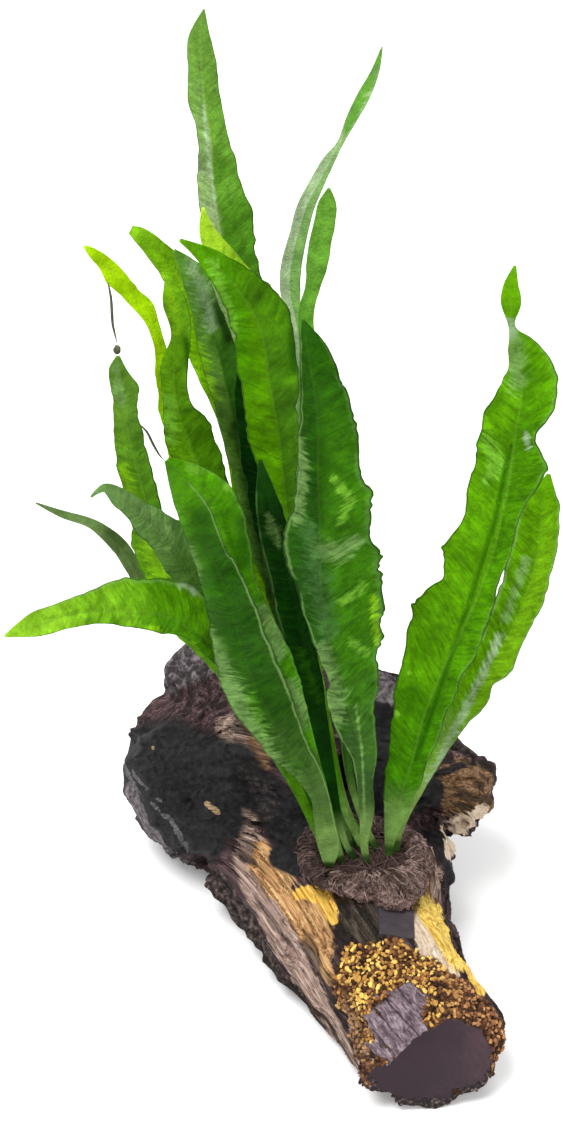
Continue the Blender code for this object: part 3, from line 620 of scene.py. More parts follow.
def large_relief(points):
    along = grain_direction(points)
    run = np.sum(points * along, axis=1, keepdims=True)
    ridge_space = (points - along * run) / RIDGE_SPACING + along * (run / RIDGE_STRETCH)
    ridges = np.array([noise.noise(Vector(place)) for place in ridge_space])
    lumps = np.array([noise.noise(Vector(place) + LUMP_SHIFT) for place in points / LUMP_SPACING])
    relief = (RIDGE_RISE - 2 * np.abs(ridges)) * RIDGE_HEIGHT + lumps * LUMP_HEIGHT
    relief *= 1 - CHAR_CALM * soft_step(zone_field(points, "charcoal_and_shade"), 0.0, 0.4)
    relief *= 1 - CAP_CALM * cap_share(points)
    for middle, radius, height in SWELLINGS:
        distance = np.linalg.norm(points - np.array(middle), axis=1)
        relief += height * np.exp(-(distance / radius) ** 2)
    return relief


skin = points_of(log)
skin += normals_of(log) * large_relief(skin)[:, None]
in_room = np.sum(((skin[:, :2] - STALK_ROOM_MIDDLE) / STALK_ROOM_RADII) ** 2, axis=1) < 1
skin[in_room, 2] = np.minimum(skin[in_room, 2], STALK_ROOM_FLOOR)
lifted = soft_step(LIFT_FROM - skin[:, 1], 0, LIFT_OVER) * (1 - soft_step(skin[:, 2], LIFT_LOW, LIFT_HIGH))
skin[:, 2] += END_LIFT * lifted
move_points(log, skin)
print("points in the hollow for the stalks:", int(in_room.sum()))

# %% [markdown]
# ### The worn bevel
# Above the saw cut a flat bevel was broken off the log along its fibres. Bisect lays an exact edge
# where the bevel starts, and the points past it are pressed flat on its plane.

# %% Cut the edge of the bevel, and press the rest flat
# Points nearer to a cutting plane than this, in metres, count as lying on it
ON_PLANE = 1e-6


def plane_of(cut):
    return np.array(cut[0], float), np.array(cut[1], float) / np.linalg.norm(cut[1])


def bisect(item, cut, **choices):
    middle, way = plane_of(cut)
    with editing(item):
        bpy.ops.mesh.bisect(plane_co=middle * MM, plane_no=way, threshold=ON_PLANE, **choices)
        bpy.ops.mesh.select_all(action="SELECT")
        bpy.ops.mesh.delete_loose(use_verts=True, use_edges=True, use_faces=False)


def beyond(points, cut):
    """How many mm each point lies past the cut."""
    middle, way = plane_of(cut)
    return (points - middle) @ way


bisect(log, CUT_BEVEL)
skin = points_of(log)
past = beyond(skin, CUT_BEVEL)
on_bevel = (past > -0.01) & (skin[:, 2] + wander(skin, 3.0, 10) * 1.5 > BEVEL_LOWEST)
on_bevel &= -beyond(skin, SAW_CUT) < BEVEL_REACH + wander(skin, 2.5, 19) * 1.2
skin[on_bevel] -= past[on_bevel, None] * plane_of(CUT_BEVEL)[1]
move_points(log, skin)
print("points on the bevel:", int(on_bevel.sum()))

# %% [markdown]
# ### Fine relief
# Seen close, old wood is a bundle of torn fibres. Two sizes of sharp-crested noise in grain
# coordinates give the fibres, a third one cuts long cracks, and the charred face stays almost
# smooth. The bevel gets straight splits of its own.

# %% Fibres, cracks and pits
FIBRE_SQUEEZE = 9.0
FINE_SPACING, COARSE_SPACING, CRACK_SPACING = 1.7, 3.6, 6.5
FIBRE_HEIGHT, COARSE_HEIGHT, CRACK_DEPTH = 0.42, 0.75, 1.3
# Cracks run down the bevel side by side, and the rim of the saw cut is worn round at the upper right
SPLIT_GAP, SPLIT_START, SPLIT_DEPTH, SPLIT_WAY = 5.0, 0.23, 0.5, np.array((0.62, -0.725, -0.30))
RIM_WEAR, RIM_REACH, RIM_SIDE = 2.6, 6.0, np.array((0.7, 0.0, 0.7))


def bevel_grain(points):
    """Which crack of the bevel a point is at, and fibre coordinates that follow the cracks."""
    across = points @ np.cross(plane_of(CUT_BEVEL)[1], SPLIT_WAY) / SPLIT_GAP
    squeezed = points - SPLIT_WAY * (points @ SPLIT_WAY)[:, None] * 0.6
    return across - SPLIT_START + wander(points, 4.0, 15) * 0.05, squeezed


skin = points_of(log)
grain = grain_space(skin, FIBRE_SQUEEZE)
char_and_shade = soft_step(zone_field(skin, "charcoal_and_shade"), -0.1, 0.25)
shade = soft_step(zone_field(skin, "shade"), 0.0, 0.4)
fibre = soft_step(zone_field(skin, "fibre"), -0.1, 0.4)
rough = (1 - np.maximum(0.9 * char_and_shade, 0.6 * shade)) * (1 - 0.7 * cap_share(skin))
relief = (ridged(grain, FINE_SPACING, 11) - 0.4) * FIBRE_HEIGHT * (0.6 + 0.9 * fibre) * rough
relief += (ridged(grain, COARSE_SPACING, 12) - 0.4) * COARSE_HEIGHT * (0.6 + 0.5 * fibre) * rough
cracks = soft_step(ridged(grain, CRACK_SPACING, 13), 0.86, 1.0)
relief -= cracks * CRACK_DEPTH * (0.35 + 0.65 * rough)
relief += wander(skin, 4.0, 14) * 0.25 + wander(skin, 3.2, 20) * 0.8 * shade
crack, fibre_place = bevel_grain(skin)
splits = soft_step(np.cos(crack * 2 * math.pi) - np.abs(wander(skin, 4.0, 18)) * 0.2, 0.84, 0.97)
on_bevel = np.abs(beyond(skin, CUT_BEVEL)) < 0.02
relief[on_bevel] = (wander(fibre_place, 1.1, 16) * 0.3 - splits * SPLIT_DEPTH)[on_bevel]
band = crumb_band(skin)
relief = np.where((band > 0) & ~on_bevel, wander(skin, 1.8, 17) * 0.5 - 0.7, relief)

at_rim = soft_step(1 + beyond(skin, SAW_CUT) / RIM_REACH, 0, 1)
relief -= RIM_WEAR * at_rim * soft_step((skin - SAW_CUT[0]) @ RIM_SIDE / 20, 0.1, 0.7)
# The smooth dark square on top of the branch, between these corners and above this height
SLATE_LOW, SLATE_HIGH, SLATE_ABOVE = np.array((4.6, -23.6)), np.array((15.4, -9.6)), 30
from_slate = np.max(np.maximum(SLATE_LOW - skin[:, :2], skin[:, :2] - SLATE_HIGH), axis=1)
slate = soft_step(-from_slate, -0.8, 0.4) * (skin[:, 2] > SLATE_ABOVE)
relief *= 1 - slate
skin += normals_of(log) * relief[:, None]
move_points(log, skin)
print("relief from", relief.min().round(2), "to", relief.max().round(2), "mm")

# %% [markdown]
# ### Saw cut and underside
# The log ends in a clean saw cut and lies on a flat underside. Bisect takes off what is past each
# plane, and a fill of the open edge closes it flat. The saw cut's own material goes on those faces.

# %% Saw off the end, flatten the underside
UNDERSIDE = ((0, 0, 0), (0, 0, -1))
SMOOTH_BELOW = math.radians(50)
for cut in (UNDERSIDE, SAW_CUT):
    bisect(log, cut, clear_outer=True)
    with editing(log):
        bpy.ops.mesh.select_all(action="DESELECT")
        bpy.ops.mesh.select_mode(type="EDGE")
        bpy.ops.mesh.select_non_manifold()
        bpy.ops.mesh.fill(use_beauty=True)
        bpy.ops.mesh.select_all(action="SELECT")
        bpy.ops.mesh.normals_make_consistent(inside=False)
        bpy.ops.mesh.select_mode(type="VERT")
skin = points_of(log)
grain = grain_space(skin, FIBRE_SQUEEZE)
paint(log, "grain", grain)
paint(log, "hollow", np.abs(wander(grain, COARSE_SPACING, 12)))
for zone in ZONES:
    paint(log, zone, zone_field(skin, zone))
paint(log, "crumbly", crumb_band(skin))
crack, fibre_place = bevel_grain(skin)
paint(log, "crack", crack)
paint(log, "bevel_grain", fibre_place)
log.data.shade_smooth()
pick(log)
bpy.ops.object.shade_smooth_by_angle(angle=SMOOTH_BELOW)
print("finished log:", triangles(log), "triangles")

# %% [markdown]
# ## Bark
# The bark's colours are laid one over the other, from the plain reddish brown to the thin stains,
# scratches and painted highlights on the rim. Each zone's edge is broken up by noise in grain
# coordinates, so that it frays along the fibres as a real stain does. The hollows get painted shade,
# darker than the crests, most of all where no stain lies.

# %% The bark material
def frayed(finish, zone, ragged, low=0.0, high=0.25):
    """The zone as a mask whose edge follows the fibres."""
    return (finish.attribute(zone) + ragged).step(low, high)


# The dark, middle and light tone of each zone's fibres, in the order in which they are laid on
TONES = {
    "shade": ((.010, .008, .007), (.036, .027, .025), (.13, .095, .085)),
    "brown": ((.06, .03, .016), (.20, .11, .056), (.40, .25, .14)),
    "fibre": ((.06, .038, .030), (.30, .205, .165), (.58, .44, .37)),
    "moss": ((.015, .012, .009), (.06, .047, .035), (.14, .11, .08)),
    "ochre": ((.13, .055, .022), (.46, .24, .10), (.70, .47, .22)),
    "charcoal_and_shade": ((.003, .003, .004), (.008, .008, .009), (.018, .017, .018)),
    "greyed": ((.035, .028, .031), (.10, .085, .09), (.21, .18, .185)),
    "soot_and_shade": ((.006, .005, .005), (.015, .012, .012), (.05, .04, .037)),
    "cream": ((.42, .3, .2), (.68, .53, .40), (.82, .7, .56)),
    "amber": ((.30, .13, .02), (.80, .45, .06), (1.0, .72, .2)),
    "yellow": ((.42, .22, .05), (.76, .52, .10), (.95, .78, .25)),
    "scuff_and_rim_highlight": ((.03, .028, .03), (.075, .07, .075), (.17, .16, .165)),
    "splinter": ((.10, .055, .025), (.24, .16, .08), (.45, .33, .20)),
}
bark = Finish("bark", Roughness=0.85, Specular_IOR_Level=0.12)
grain = bark.attribute("grain", "Vector")
fibres = bark.noise(grain, 1.25, 6.0, 0.7)
streaks = bark.noise(grain, 0.4, 4.0, 0.6)
blotches = bark.noise(bark.place(), 0.12, 3.0)
ragged = (streaks - 0.5) * 1.6 + (fibres - 0.5) * 0.9 + (blotches - 0.5) * 0.8
colour = bark.ramp(fibres * 0.6 + streaks * 0.4, (0.38, (0.014, 0.008, 0.009)),
                   (0.5, (0.05, 0.028, 0.030)), (0.62, (0.15, 0.10, 0.095)))
lumpy = bark.noise(bark.place(), 0.55, 5.0, 0.62)
CALM_ZONES, STAIN_ZONES = ("charcoal_and_shade", "shade", "soot_and_shade", "greyed"), ("yellow", "cream")
CALM_FRAY, STAIN_FRAY, FIBRE_FRAY = 0.35, 0.55, 0.9
for zone, (dark, middle, light) in TONES.items():
    calm = zone in CALM_ZONES
    tone = bark.ramp(lumpy if calm else fibres, (0.37, dark), (0.5, middle), (0.64, light))
    fray = CALM_FRAY if calm else STAIN_FRAY if zone in STAIN_ZONES else FIBRE_FRAY
    colour = bark.mix(frayed(bark, zone, ragged * fray), colour, tone)
charred_and_shaded = frayed(bark, "charcoal_and_shade", ragged * CALM_FRAY)
gap_brown = bark.ramp(bark.noise(bark.place(), 0.9, 3.0), (0.35, (0.03, 0.014, 0.008)),
                      (0.65, (0.17, 0.08, 0.035)))
colour = bark.mix(bark.attribute("crumbly").step(-0.15, 0.1), colour, gap_brown)
print("zones laid on the bark:", len(TONES))

# %% Painted shade in the hollows between the fibres, torn streaks and the dark square
clean = 1.0
for zone in ("yellow", "cream", "amber"):
    clean = (1 - frayed(bark, zone, ragged * 0.5)) * clean
stained = 1 - clean
# Painted shade: the hollows of the coarse relief are darkened, least on charred wood and stains
crevices = (1 - bark.attribute("hollow") * 1.6).step(0.0, 0.6)
hollow_shade = (1 - crevices) * (1 - charred_and_shaded * 0.6) * (1 - stained * 0.85)
colour = bark.mix(hollow_shade, colour, bark.mix(0.7, colour, (0.01, 0.008, 0.007)))
torn = (streaks * 0.5 + bark.noise(grain, 2.6, 3.0) * 0.5).step(0.46, 0.39)
torn = torn * (1 - charred_and_shaded) * (1 - stained * 0.6)
colour = bark.mix(torn * 0.65, colour, (0.014, 0.010, 0.009))

# The square has a thin soft edge
SLATE_EDGE = 0.25
here = bark.place()
x_mm, y_mm, z_mm = bark.split(here)
slate_mask = z_mm.step(SLATE_ABOVE, SLATE_ABOVE + 1)
for along, low, high in zip((x_mm, y_mm), SLATE_LOW, SLATE_HIGH):
    slate_mask = slate_mask * (along - low).step(-SLATE_EDGE, SLATE_EDGE)
    slate_mask = slate_mask * (high - along).step(-SLATE_EDGE, SLATE_EDGE)
slate_grey = bark.ramp(bark.noise(here, 0.4, 2.0), (0.3, (0.052, 0.042, 0.05)), (0.7, (0.068, 0.057, 0.066)))
colour = bark.mix(slate_mask, colour, slate_grey)
bark_height = (fibres * 0.7 + streaks * 0.5) * (1 - charred_and_shaded * 0.88) * (1 - slate_mask)
bark.wear(colour, 0.85 - charred_and_shaded * 0.25, bark_height, relief=0.8, depth_mm=0.7)
log.data.materials.append(bark.material)
print("bark:", len(bark.tree.nodes), "nodes")

# %% [markdown]
# ## Saw cut and bevel
# The sawn face is smooth, dark and slightly satin, with faint growth rings round its middle and a
# ragged, flecked lower rim. The bevel above it is bare wood gone purple-grey, split along the fibres.

# %% The sawn face and the bevel
sawn = Finish("saw_cut", Roughness=0.5, Specular_IOR_Level=0.15)
here = sawn.place()
x_mm, _, z_mm = sawn.split(here)
HEART = (19, -53.7, 15)
from_heart = sawn.node("ShaderNodeVectorMath", {"operation": "DISTANCE"}, {0: here, 1: HEART}, "Value")
wobble = sawn.noise(here, 0.09, 3.0)
rings = ((from_heart + wobble * 9) * 2.6).sine()
grit = sawn.noise(here, 1.2, 4.0)
colour = sawn.ramp(rings * 0.018 + wobble * 0.4 + grit * 0.2 + x_mm.step(15, 40) * 0.25,
                   (0.2, (0.026, 0.015, 0.021)), (0.42, (0.036, 0.021, 0.028)), (0.75, (0.08, 0.045, 0.052)))
flecks = sawn.noise(here, 0.9, 3.0, 0.6)
RIM_MIDDLE, RIM_CURVE = 20, 0.03
off_middle = x_mm - RIM_MIDDLE
above_rim = z_mm - off_middle * off_middle * RIM_CURVE
ragged_rim = (above_rim + (sawn.noise(here, 0.45, 3.0) - 0.5) * 8).step(4.6, 3.6)
flecked = sawn.ramp(flecks, (0.45, (0.012, 0.008, 0.008)), (0.6, (0.06, 0.04, 0.04)),
                    (0.68, (0.3, 0.22, 0.19)))
colour = sawn.mix(ragged_rim, colour, flecked)
height = rings * 0.05 + grit * 0.6 + flecks * ragged_rim * 3
sawn.wear(colour, 0.5 + grit * 0.2, height, relief=0.4, depth_mm=0.3)

worn = Finish("worn_bevel", Roughness=0.7, Specular_IOR_Level=0.2)
grain = worn.attribute("bevel_grain", "Vector")
fibres = worn.noise(grain, 0.8, 5.0, 0.65, 0.6)
broken = worn.noise(worn.place(), 0.3, 3.0)
seams = 1 - ((worn.attribute("crack") * math.tau + math.pi / 2).sine() + (broken - 0.5) * 0.6).step(0.9, 1.02)
colour = worn.ramp(fibres, (0.37, (0.05, 0.034, 0.042)), (0.5, (0.155, 0.11, 0.13)),
                   (0.63, (0.32, 0.245, 0.28)))
colour = worn.mix(seams, (0.05, 0.034, 0.04), colour)
worn.wear(colour, 0.55 + fibres * 0.3, fibres * 0.8 + seams, relief=0.8, depth_mm=0.6)
print("saw cut and bevel:", len(sawn.tree.nodes), "and", len(worn.tree.nodes), "nodes")

# %% Put on the faces that lie on the two planes
log.data.materials.append(worn.material)
log.data.materials.append(sawn.material)
centres = vectors_of(log.data.polygons, "center") / MM
facing = vectors_of(log.data.polygons, "normal")
bevel_faces = (np.abs(beyond(centres, CUT_BEVEL)) < 1.2) & (facing @ plane_of(CUT_BEVEL)[1] > 0.72)
bevel_faces &= (centres[:, 2] > BEVEL_LOWEST - 1.5) & (beyond(centres, SAW_CUT) > -BEVEL_REACH - 1.0)
saw_faces = (np.abs(beyond(centres, SAW_CUT)) < 0.05) & (facing @ plane_of(SAW_CUT)[1] > 0.95)
slots = np.where(saw_faces, 2, np.where(bevel_faces, 1, 0)).astype(np.int32)
log.data.polygons.foreach_set("material_index", slots)
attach(log, "root")
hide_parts("driftwood_front_branch", "driftwood_left_limb", "driftwood_right_stub")
print("bevel faces:", int(bevel_faces.sum()), "saw faces:", int(saw_faces.sum()))


# %% [markdown]
# ## Crumbs of bark
# Behind the saw cut the bark has broken into hundreds of corky crumbs, 1 to 2 mm across. Painted
# bumps would look flat at the edge of the log, so each crumb is a small rounded block. One cube is
# subdivided and rounded once, and copies of it, each with its own stretch, turn and dents, are laid
# side by side in one mesh.

# %% Many copies of one mesh
def as_arrays(item):
    faces = [tuple(face.vertices) for face in item.data.polygons]
    return points_of(item), faces


def joined_copies(name, shapes, faces, numbers=None):
    """One mesh from arrays of points that all share the same faces. `numbers` are kept per copy."""
    count = len(shapes[0])
    points = np.vstack(shapes)
    all_faces = [tuple(i + copy * count for i in face) for copy in range(len(shapes)) for face in faces]
    mesh = bpy.data.meshes.new(name)
    mesh.from_pydata(points * MM, [], all_faces)
    mesh.shade_smooth()
    item = bpy.data.objects.new(name, mesh)
    bpy.context.scene.collection.objects.link(item)
    if numbers is not None:
        paint(item, "tint", np.repeat(np.asarray(numbers, float), count))
    return item


def well_spaced(candidates, spacing, random):
    """Pick points so that no two are nearer than their spacing."""
    chosen = []
    for index in random.permutation(len(candidates)):
        if not chosen:
            chosen.append(index)
            continue
        near = np.linalg.norm(candidates[chosen] - candidates[index], axis=1)
        if near.min() > spacing:
            chosen.append(index)
    return np.array(chosen)


print("copying tools ready")

# %% One crumb, then the whole band
CRUMB_SPACING = 0.98
CRUMB_SIZES = (0.36, 0.82)
random = np.random.default_rng(5)
bpy.ops.object.select_all(action="DESELECT")
bpy.ops.mesh.primitive_cube_add(size=2)
block = name_new("block")
with editing(block):
    bpy.ops.mesh.subdivide(number_cuts=1)
corners = points_of(block) * MM
corners /= (np.abs(corners) ** 4).sum(axis=1, keepdims=True) ** 0.25
_, block_faces = as_arrays(block)
bpy.data.objects.remove(block)

skin = points_of(log)
outward = normals_of(log)
off_bevel = (np.abs(beyond(skin, CUT_BEVEL)) > 0.9) | (skin[:, 2] < BEVEL_LOWEST - 0.5)
off_bevel |= beyond(skin, SAW_CUT) < -BEVEL_REACH - 0.5
wanted = (crumb_band(skin) > 0.0) & off_bevel & (beyond(skin, SAW_CUT) < -0.8) & (skin[:, 2] > 0.7)
candidates = np.flatnonzero(wanted)
chosen = candidates[well_spaced(skin[candidates], CRUMB_SPACING, random)]
crumbs, tints = [], []
for index in chosen:
    up = unit(outward[index][None] + random.normal(0, 0.35, (1, 3)))[0]
    flat = unit(np.cross(up, random.normal(size=3))[None])[0]
    turned = np.stack((flat, np.cross(up, flat), up))
    size = random.uniform(*CRUMB_SIZES) * np.array((random.uniform(0.9, 1.5), random.uniform(0.6, 1.0), 0.7))
    dents = 1 + random.uniform(-0.28, 0.28, corners.shape)
    crumb = skin[index] + up * random.uniform(-0.1, 0.5) + (corners * size * dents) @ turned
    crumb[:, 2] = np.maximum(crumb[:, 2], 0.05)
    crumbs.append(crumb)
    tints.append(random.uniform())
crumb_piece = joined_copies("bark_crumbs", crumbs, block_faces, tints)
crumb_piece.data.shade_flat()
print("crumbs:", len(crumbs), "triangles:", triangles(crumb_piece))

# %% Their material: yellow on top of the log, browner on its right and darker low down
corky = Finish("corky_crumbs", Roughness=0.85, Specular_IOR_Level=0.12)
tint = corky.attribute("tint")
here = corky.place()
speckle = corky.noise(here, 1.3, 4.0, 0.7)
patches = corky.noise(here, 0.16, 2.0)
x_mm, y_mm, z_mm = corky.split(here)
lightness = tint * 0.6 + speckle * 0.4 + (patches - 0.5) * 0.7
sunny = corky.ramp(lightness, (0.22, (0.05, 0.02, 0.012)), (0.4, (0.28, 0.125, 0.045)),
                   (0.57, (0.56, 0.30, 0.07)), (0.75, (0.92, 0.64, 0.16)))
brown = corky.ramp(lightness, (0.22, (0.04, 0.018, 0.012)), (0.5, (0.22, 0.095, 0.042)),
                   (0.8, (0.58, 0.29, 0.12)))
darker_low = corky.ramp(lightness, (0.3, (0.02, 0.013, 0.014)), (0.7, (0.13, 0.09, 0.09)))
colour = corky.mix(x_mm.step(16, 30), sunny, brown)
low_left = (z_mm * 0.5 + x_mm + (patches - 0.5) * 8).step(15, 9) * y_mm.step(-33, -39)
colour = corky.mix(low_left * 0.9, colour, corky.mix(0.6, brown, darker_low))
colour = corky.mix((z_mm + patches * 8).step(20, 8), colour, darker_low)
corky.wear(colour, 0.85, speckle, relief=0.6, depth_mm=0.4)
crumb_piece.data.materials.append(corky.material)
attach(crumb_piece, "root")
print("corky crumbs:", len(corky.tree.nodes), "nodes")

# %% [markdown]
# ## Root mat
# The fern holds on by a collar of brown roots, matted like felt. Short tubes rolled from grids are
# joined to a lumpy ring, its body. About a thousand root fibres wind round the ring or cross it,
# and they give it its coarse, hairy look.

# %% The ring of the mat
# Sections round the ring (x, y, z, radius), in mm
ROOT_RING = ((-16, 6, 43, 2.6), (-13.5, -1.5, 43, 2.7), (-5.5, -5.5, 43, 2.8), (3, -6.5, 43, 3.6),
             (10, -6.8, 42, 5.8), (16, -0.5, 41.5, 4.2), (17, 10, 42.5, 2.8), (8, 17, 43.5, 2.8),
             (-5, 18, 43.5, 2.6), (-14, 13.5, 43.5, 2.6))
MAT_STEPS, MAT_SIDES, MAT_VOXEL, MAT_SOFTEN = 24, 24, 0.5, 8
mat_parts = []
for start in range(len(ROOT_RING)):
    run = [ROOT_RING[(start + step) % len(ROOT_RING)] for step in range(-1, 3)]
    mat_parts.append(round_limb(f"mat_{start}", run, MAT_STEPS, MAT_SIDES))
mat = join("root_mat_felt", mat_parts)
apply_modifier(mat, "REMESH", mode="VOXEL", voxel_size=MAT_VOXEL * MM)
apply_modifier(mat, "SMOOTH", iterations=MAT_SOFTEN)
felt = points_of(mat)
felt_relief = (wander(felt, 7.0, 26) * 1.3 + wander(felt, 4.0, 21) * 1.1 + ridged(felt, 2.0, 22) * 0.5
               + ridged(felt, 1.1, 23) * 0.35 - 0.35)
move_points(mat, felt + normals_of(mat) * felt_relief[:, None])
mat.data.shade_smooth()
print("root mat:", triangles(mat), "triangles")

# %% One thin root, and places on the ring
FIBRE_COUNT, CROSSING_COUNT = 900, 220
# The creeping stem that fills the middle of the ring
RHIZOME_MIDDLE = np.array((-0.5, 4.0, 41.0))
RHIZOME_RADII = np.array((14.5, 10.5, 4.0))
FIBRE_SIDES, FIBRE_STEPS = 5, 9
random = np.random.default_rng(8)
rod, rod_across, rod_row = flat_grid("rod", FIBRE_SIDES, FIBRE_STEPS)
_, rod_faces = as_arrays(rod)
bpy.data.objects.remove(rod)


def thin_root(line, radius):
    """The points of a rod that follows the line and thins out to its ends."""
    rows, _ = even_rows(np.column_stack((line, np.zeros(len(line)))), FIBRE_STEPS)
    ways = unit(np.gradient(rows[:, :3], axis=0))
    share = np.linspace(0, 1, FIBRE_STEPS + 1)
    girth = radius * np.sin(np.clip(share * 1.06 + 0.02, 0, 1) * math.pi) ** 0.4
    return rolled(rows[:, :3], ways, girth, (0.31, 0.17, 0.94), rod_across, rod_row)


def ring_point(place, round_it, out):
    """A point on the ring: how far along it, the angle round its thickness, and mm off its skin."""
    closed = [ROOT_RING[-1], *ROOT_RING, ROOT_RING[0], ROOT_RING[1]]
    x, y, z, radius = smooth_rows(closed, 1 + place % len(ROOT_RING)).T
    centre = np.column_stack((x, y))
    away = unit(centre - np.array((0.0, 4.5)))
    sideways = np.cos(round_it)[:, None] * away
    lift = np.sin(round_it)
    return np.column_stack((centre + sideways * (radius + out)[:, None], z + lift * (radius + out)))


print("a thin root has", len(rod_row), "points")

# %% Root fibres wound round the ring, and others that cross it
fibres, fibre_tints = [], []
for _ in range(FIBRE_COUNT):
    length = random.uniform(0.1, 0.4)
    places = random.uniform(0, len(ROOT_RING)) + np.linspace(0, length, 6) * random.choice((-1, 1))
    angles = random.uniform(-0.3, math.pi * 1.1) + np.cumsum(random.normal(0, 0.4, 6))
    out = 0.1 + np.abs(np.cumsum(random.normal(0, 0.32, 6)))
    fibres.append(thin_root(ring_point(places, angles, out), random.uniform(0.08, 0.28)))
    fibre_tints.append(random.uniform())
for _ in range(CROSSING_COUNT):
    start = random.uniform(0, 2 * math.pi)
    turn = start + random.uniform(1.2, 3.6)
    ends = np.array([(math.cos(way) * 15.5 - 0.5, math.sin(way) * 11.5 + 4.5) for way in (start, turn)])
    share = np.linspace(0, 1, 6)[:, None]
    line = ends[0] + (ends[1] - ends[0]) * share + np.cumsum(random.normal(0, 0.4, (6, 2)), axis=0)
    inside = np.sum(((line - RHIZOME_MIDDLE[:2]) / RHIZOME_RADII[:2]) ** 2, axis=1)
    height = RHIZOME_MIDDLE[2] + RHIZOME_RADII[2] * np.sqrt(np.maximum(1 - inside, 0))
    height = height + random.uniform(-0.3, 0.8)
    height = np.maximum(height, STALK_ROOM_FLOOR + random.uniform(0, 1.2))
    height = height + np.cumsum(random.normal(0, 0.25, 6))
    fibres.append(thin_root(np.column_stack((line, height)), random.uniform(0.12, 0.3)))
    fibre_tints.append(random.uniform(0, 0.35))
root_fibres = joined_copies("root_fibres", fibres, rod_faces, fibre_tints)
print("root fibres:", len(fibres), "triangles:", triangles(root_fibres))

# %% Their materials
def darker_left_and_back(finish):
    """The mat is darker in blotches and towards the left and the back."""
    where = finish.place()
    x_mm, y_mm, _ = finish.split(where)
    patches = finish.noise(where, 0.14, 3.0)
    return (y_mm * 0.5 - x_mm + (patches - 0.5) * 45).step(4, 14) * 0.8


felted = Finish("root_felt", Roughness=0.9, Specular_IOR_Level=0.2)
here = felted.place()
threads = felted.noise(here, 0.9, 5.0, 0.7, 1.2)
colour = felted.ramp(threads, (0.38, (0.04, 0.023, 0.02)), (0.5, (0.20, 0.125, 0.11)),
                     (0.62, (0.38, 0.26, 0.23)))
colour = felted.mix(darker_left_and_back(felted), colour, (0.035, 0.022, 0.018))
felted.wear(colour, 0.9, threads, relief=1.0, depth_mm=0.7)
mat.data.materials.append(felted.material)

hairy = Finish("root_fibre", Roughness=0.85, Specular_IOR_Level=0.2)
colour = hairy.ramp(hairy.attribute("tint"), (0.0, (0.04, 0.022, 0.018)), (0.7, (0.18, 0.115, 0.1)),
                    (1.0, (0.38, 0.27, 0.23)))
colour = hairy.mix(darker_left_and_back(hairy) * 0.8, colour, (0.05, 0.032, 0.026))
hairy.wear(colour, 0.85, hairy.noise(hairy.place(), 1.5, 3.0), relief=0.4, depth_mm=0.2)
root_fibres.data.materials.append(hairy.material)
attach(mat, "root")
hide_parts("root_mat")
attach(root_fibres, "root")
print("felt and fibres:", len(felted.tree.nodes), "and", len(hairy.tree.nodes), "nodes")

# %% [markdown]
# ## Rhizome
# The leaves stand on a flat green stem with brown scales. Little of it shows between the stalks, so
# a ball squashed to the model's size and wrinkled by noise is enough.

# %% The creeping stem
bpy.ops.object.select_all(action="DESELECT")
bpy.ops.mesh.primitive_uv_sphere_add(segments=72, ring_count=36, radius=1)
rhizome = name_new("rhizome_stem")
ball = points_of(rhizome) * MM
stem = ball * RHIZOME_RADII + RHIZOME_MIDDLE
stem += ball * (ridged(stem, 2.6, 31) * 0.35 - 0.3)[:, None]
move_points(rhizome, stem)
rhizome.data.shade_smooth()
scaly = Finish("rhizome_skin", Roughness=0.6)
scales = scaly.noise(scaly.place(), 0.5, 4.0, 0.6)
colour = scaly.ramp(scales, (0.35, (0.003, 0.003, 0.002)), (0.6, (0.010, 0.009, 0.005)),
                    (0.75, (0.05, 0.03, 0.02)))
scaly.wear(colour, 0.6, scales, relief=0.6, depth_mm=0.4)
rhizome.data.materials.append(scaly.material)
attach(rhizome, "root")
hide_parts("rhizome")
print("rhizome:", triangles(rhizome), "triangles")

# %% [markdown]
# ## Leaves: the plan of every blade
# The photograph shows the leaves from one side only, so each leaf is laid out along its own midrib
# as it is seen there. A station says where the midrib is, how deep it lies, how wide the blade is on
# each side of it and how far it is turned. The model's solids use the same stations, so each new
# blade lies in the place of the plain one that it takes over. Only the stalks of two leaves at the
# left, the beaded one and the thin dark one, are moved here, to stay hidden behind the front leaf.

# %% Stations
Station = namedtuple("Station", "across down back left right turn", defaults=(None, 0))

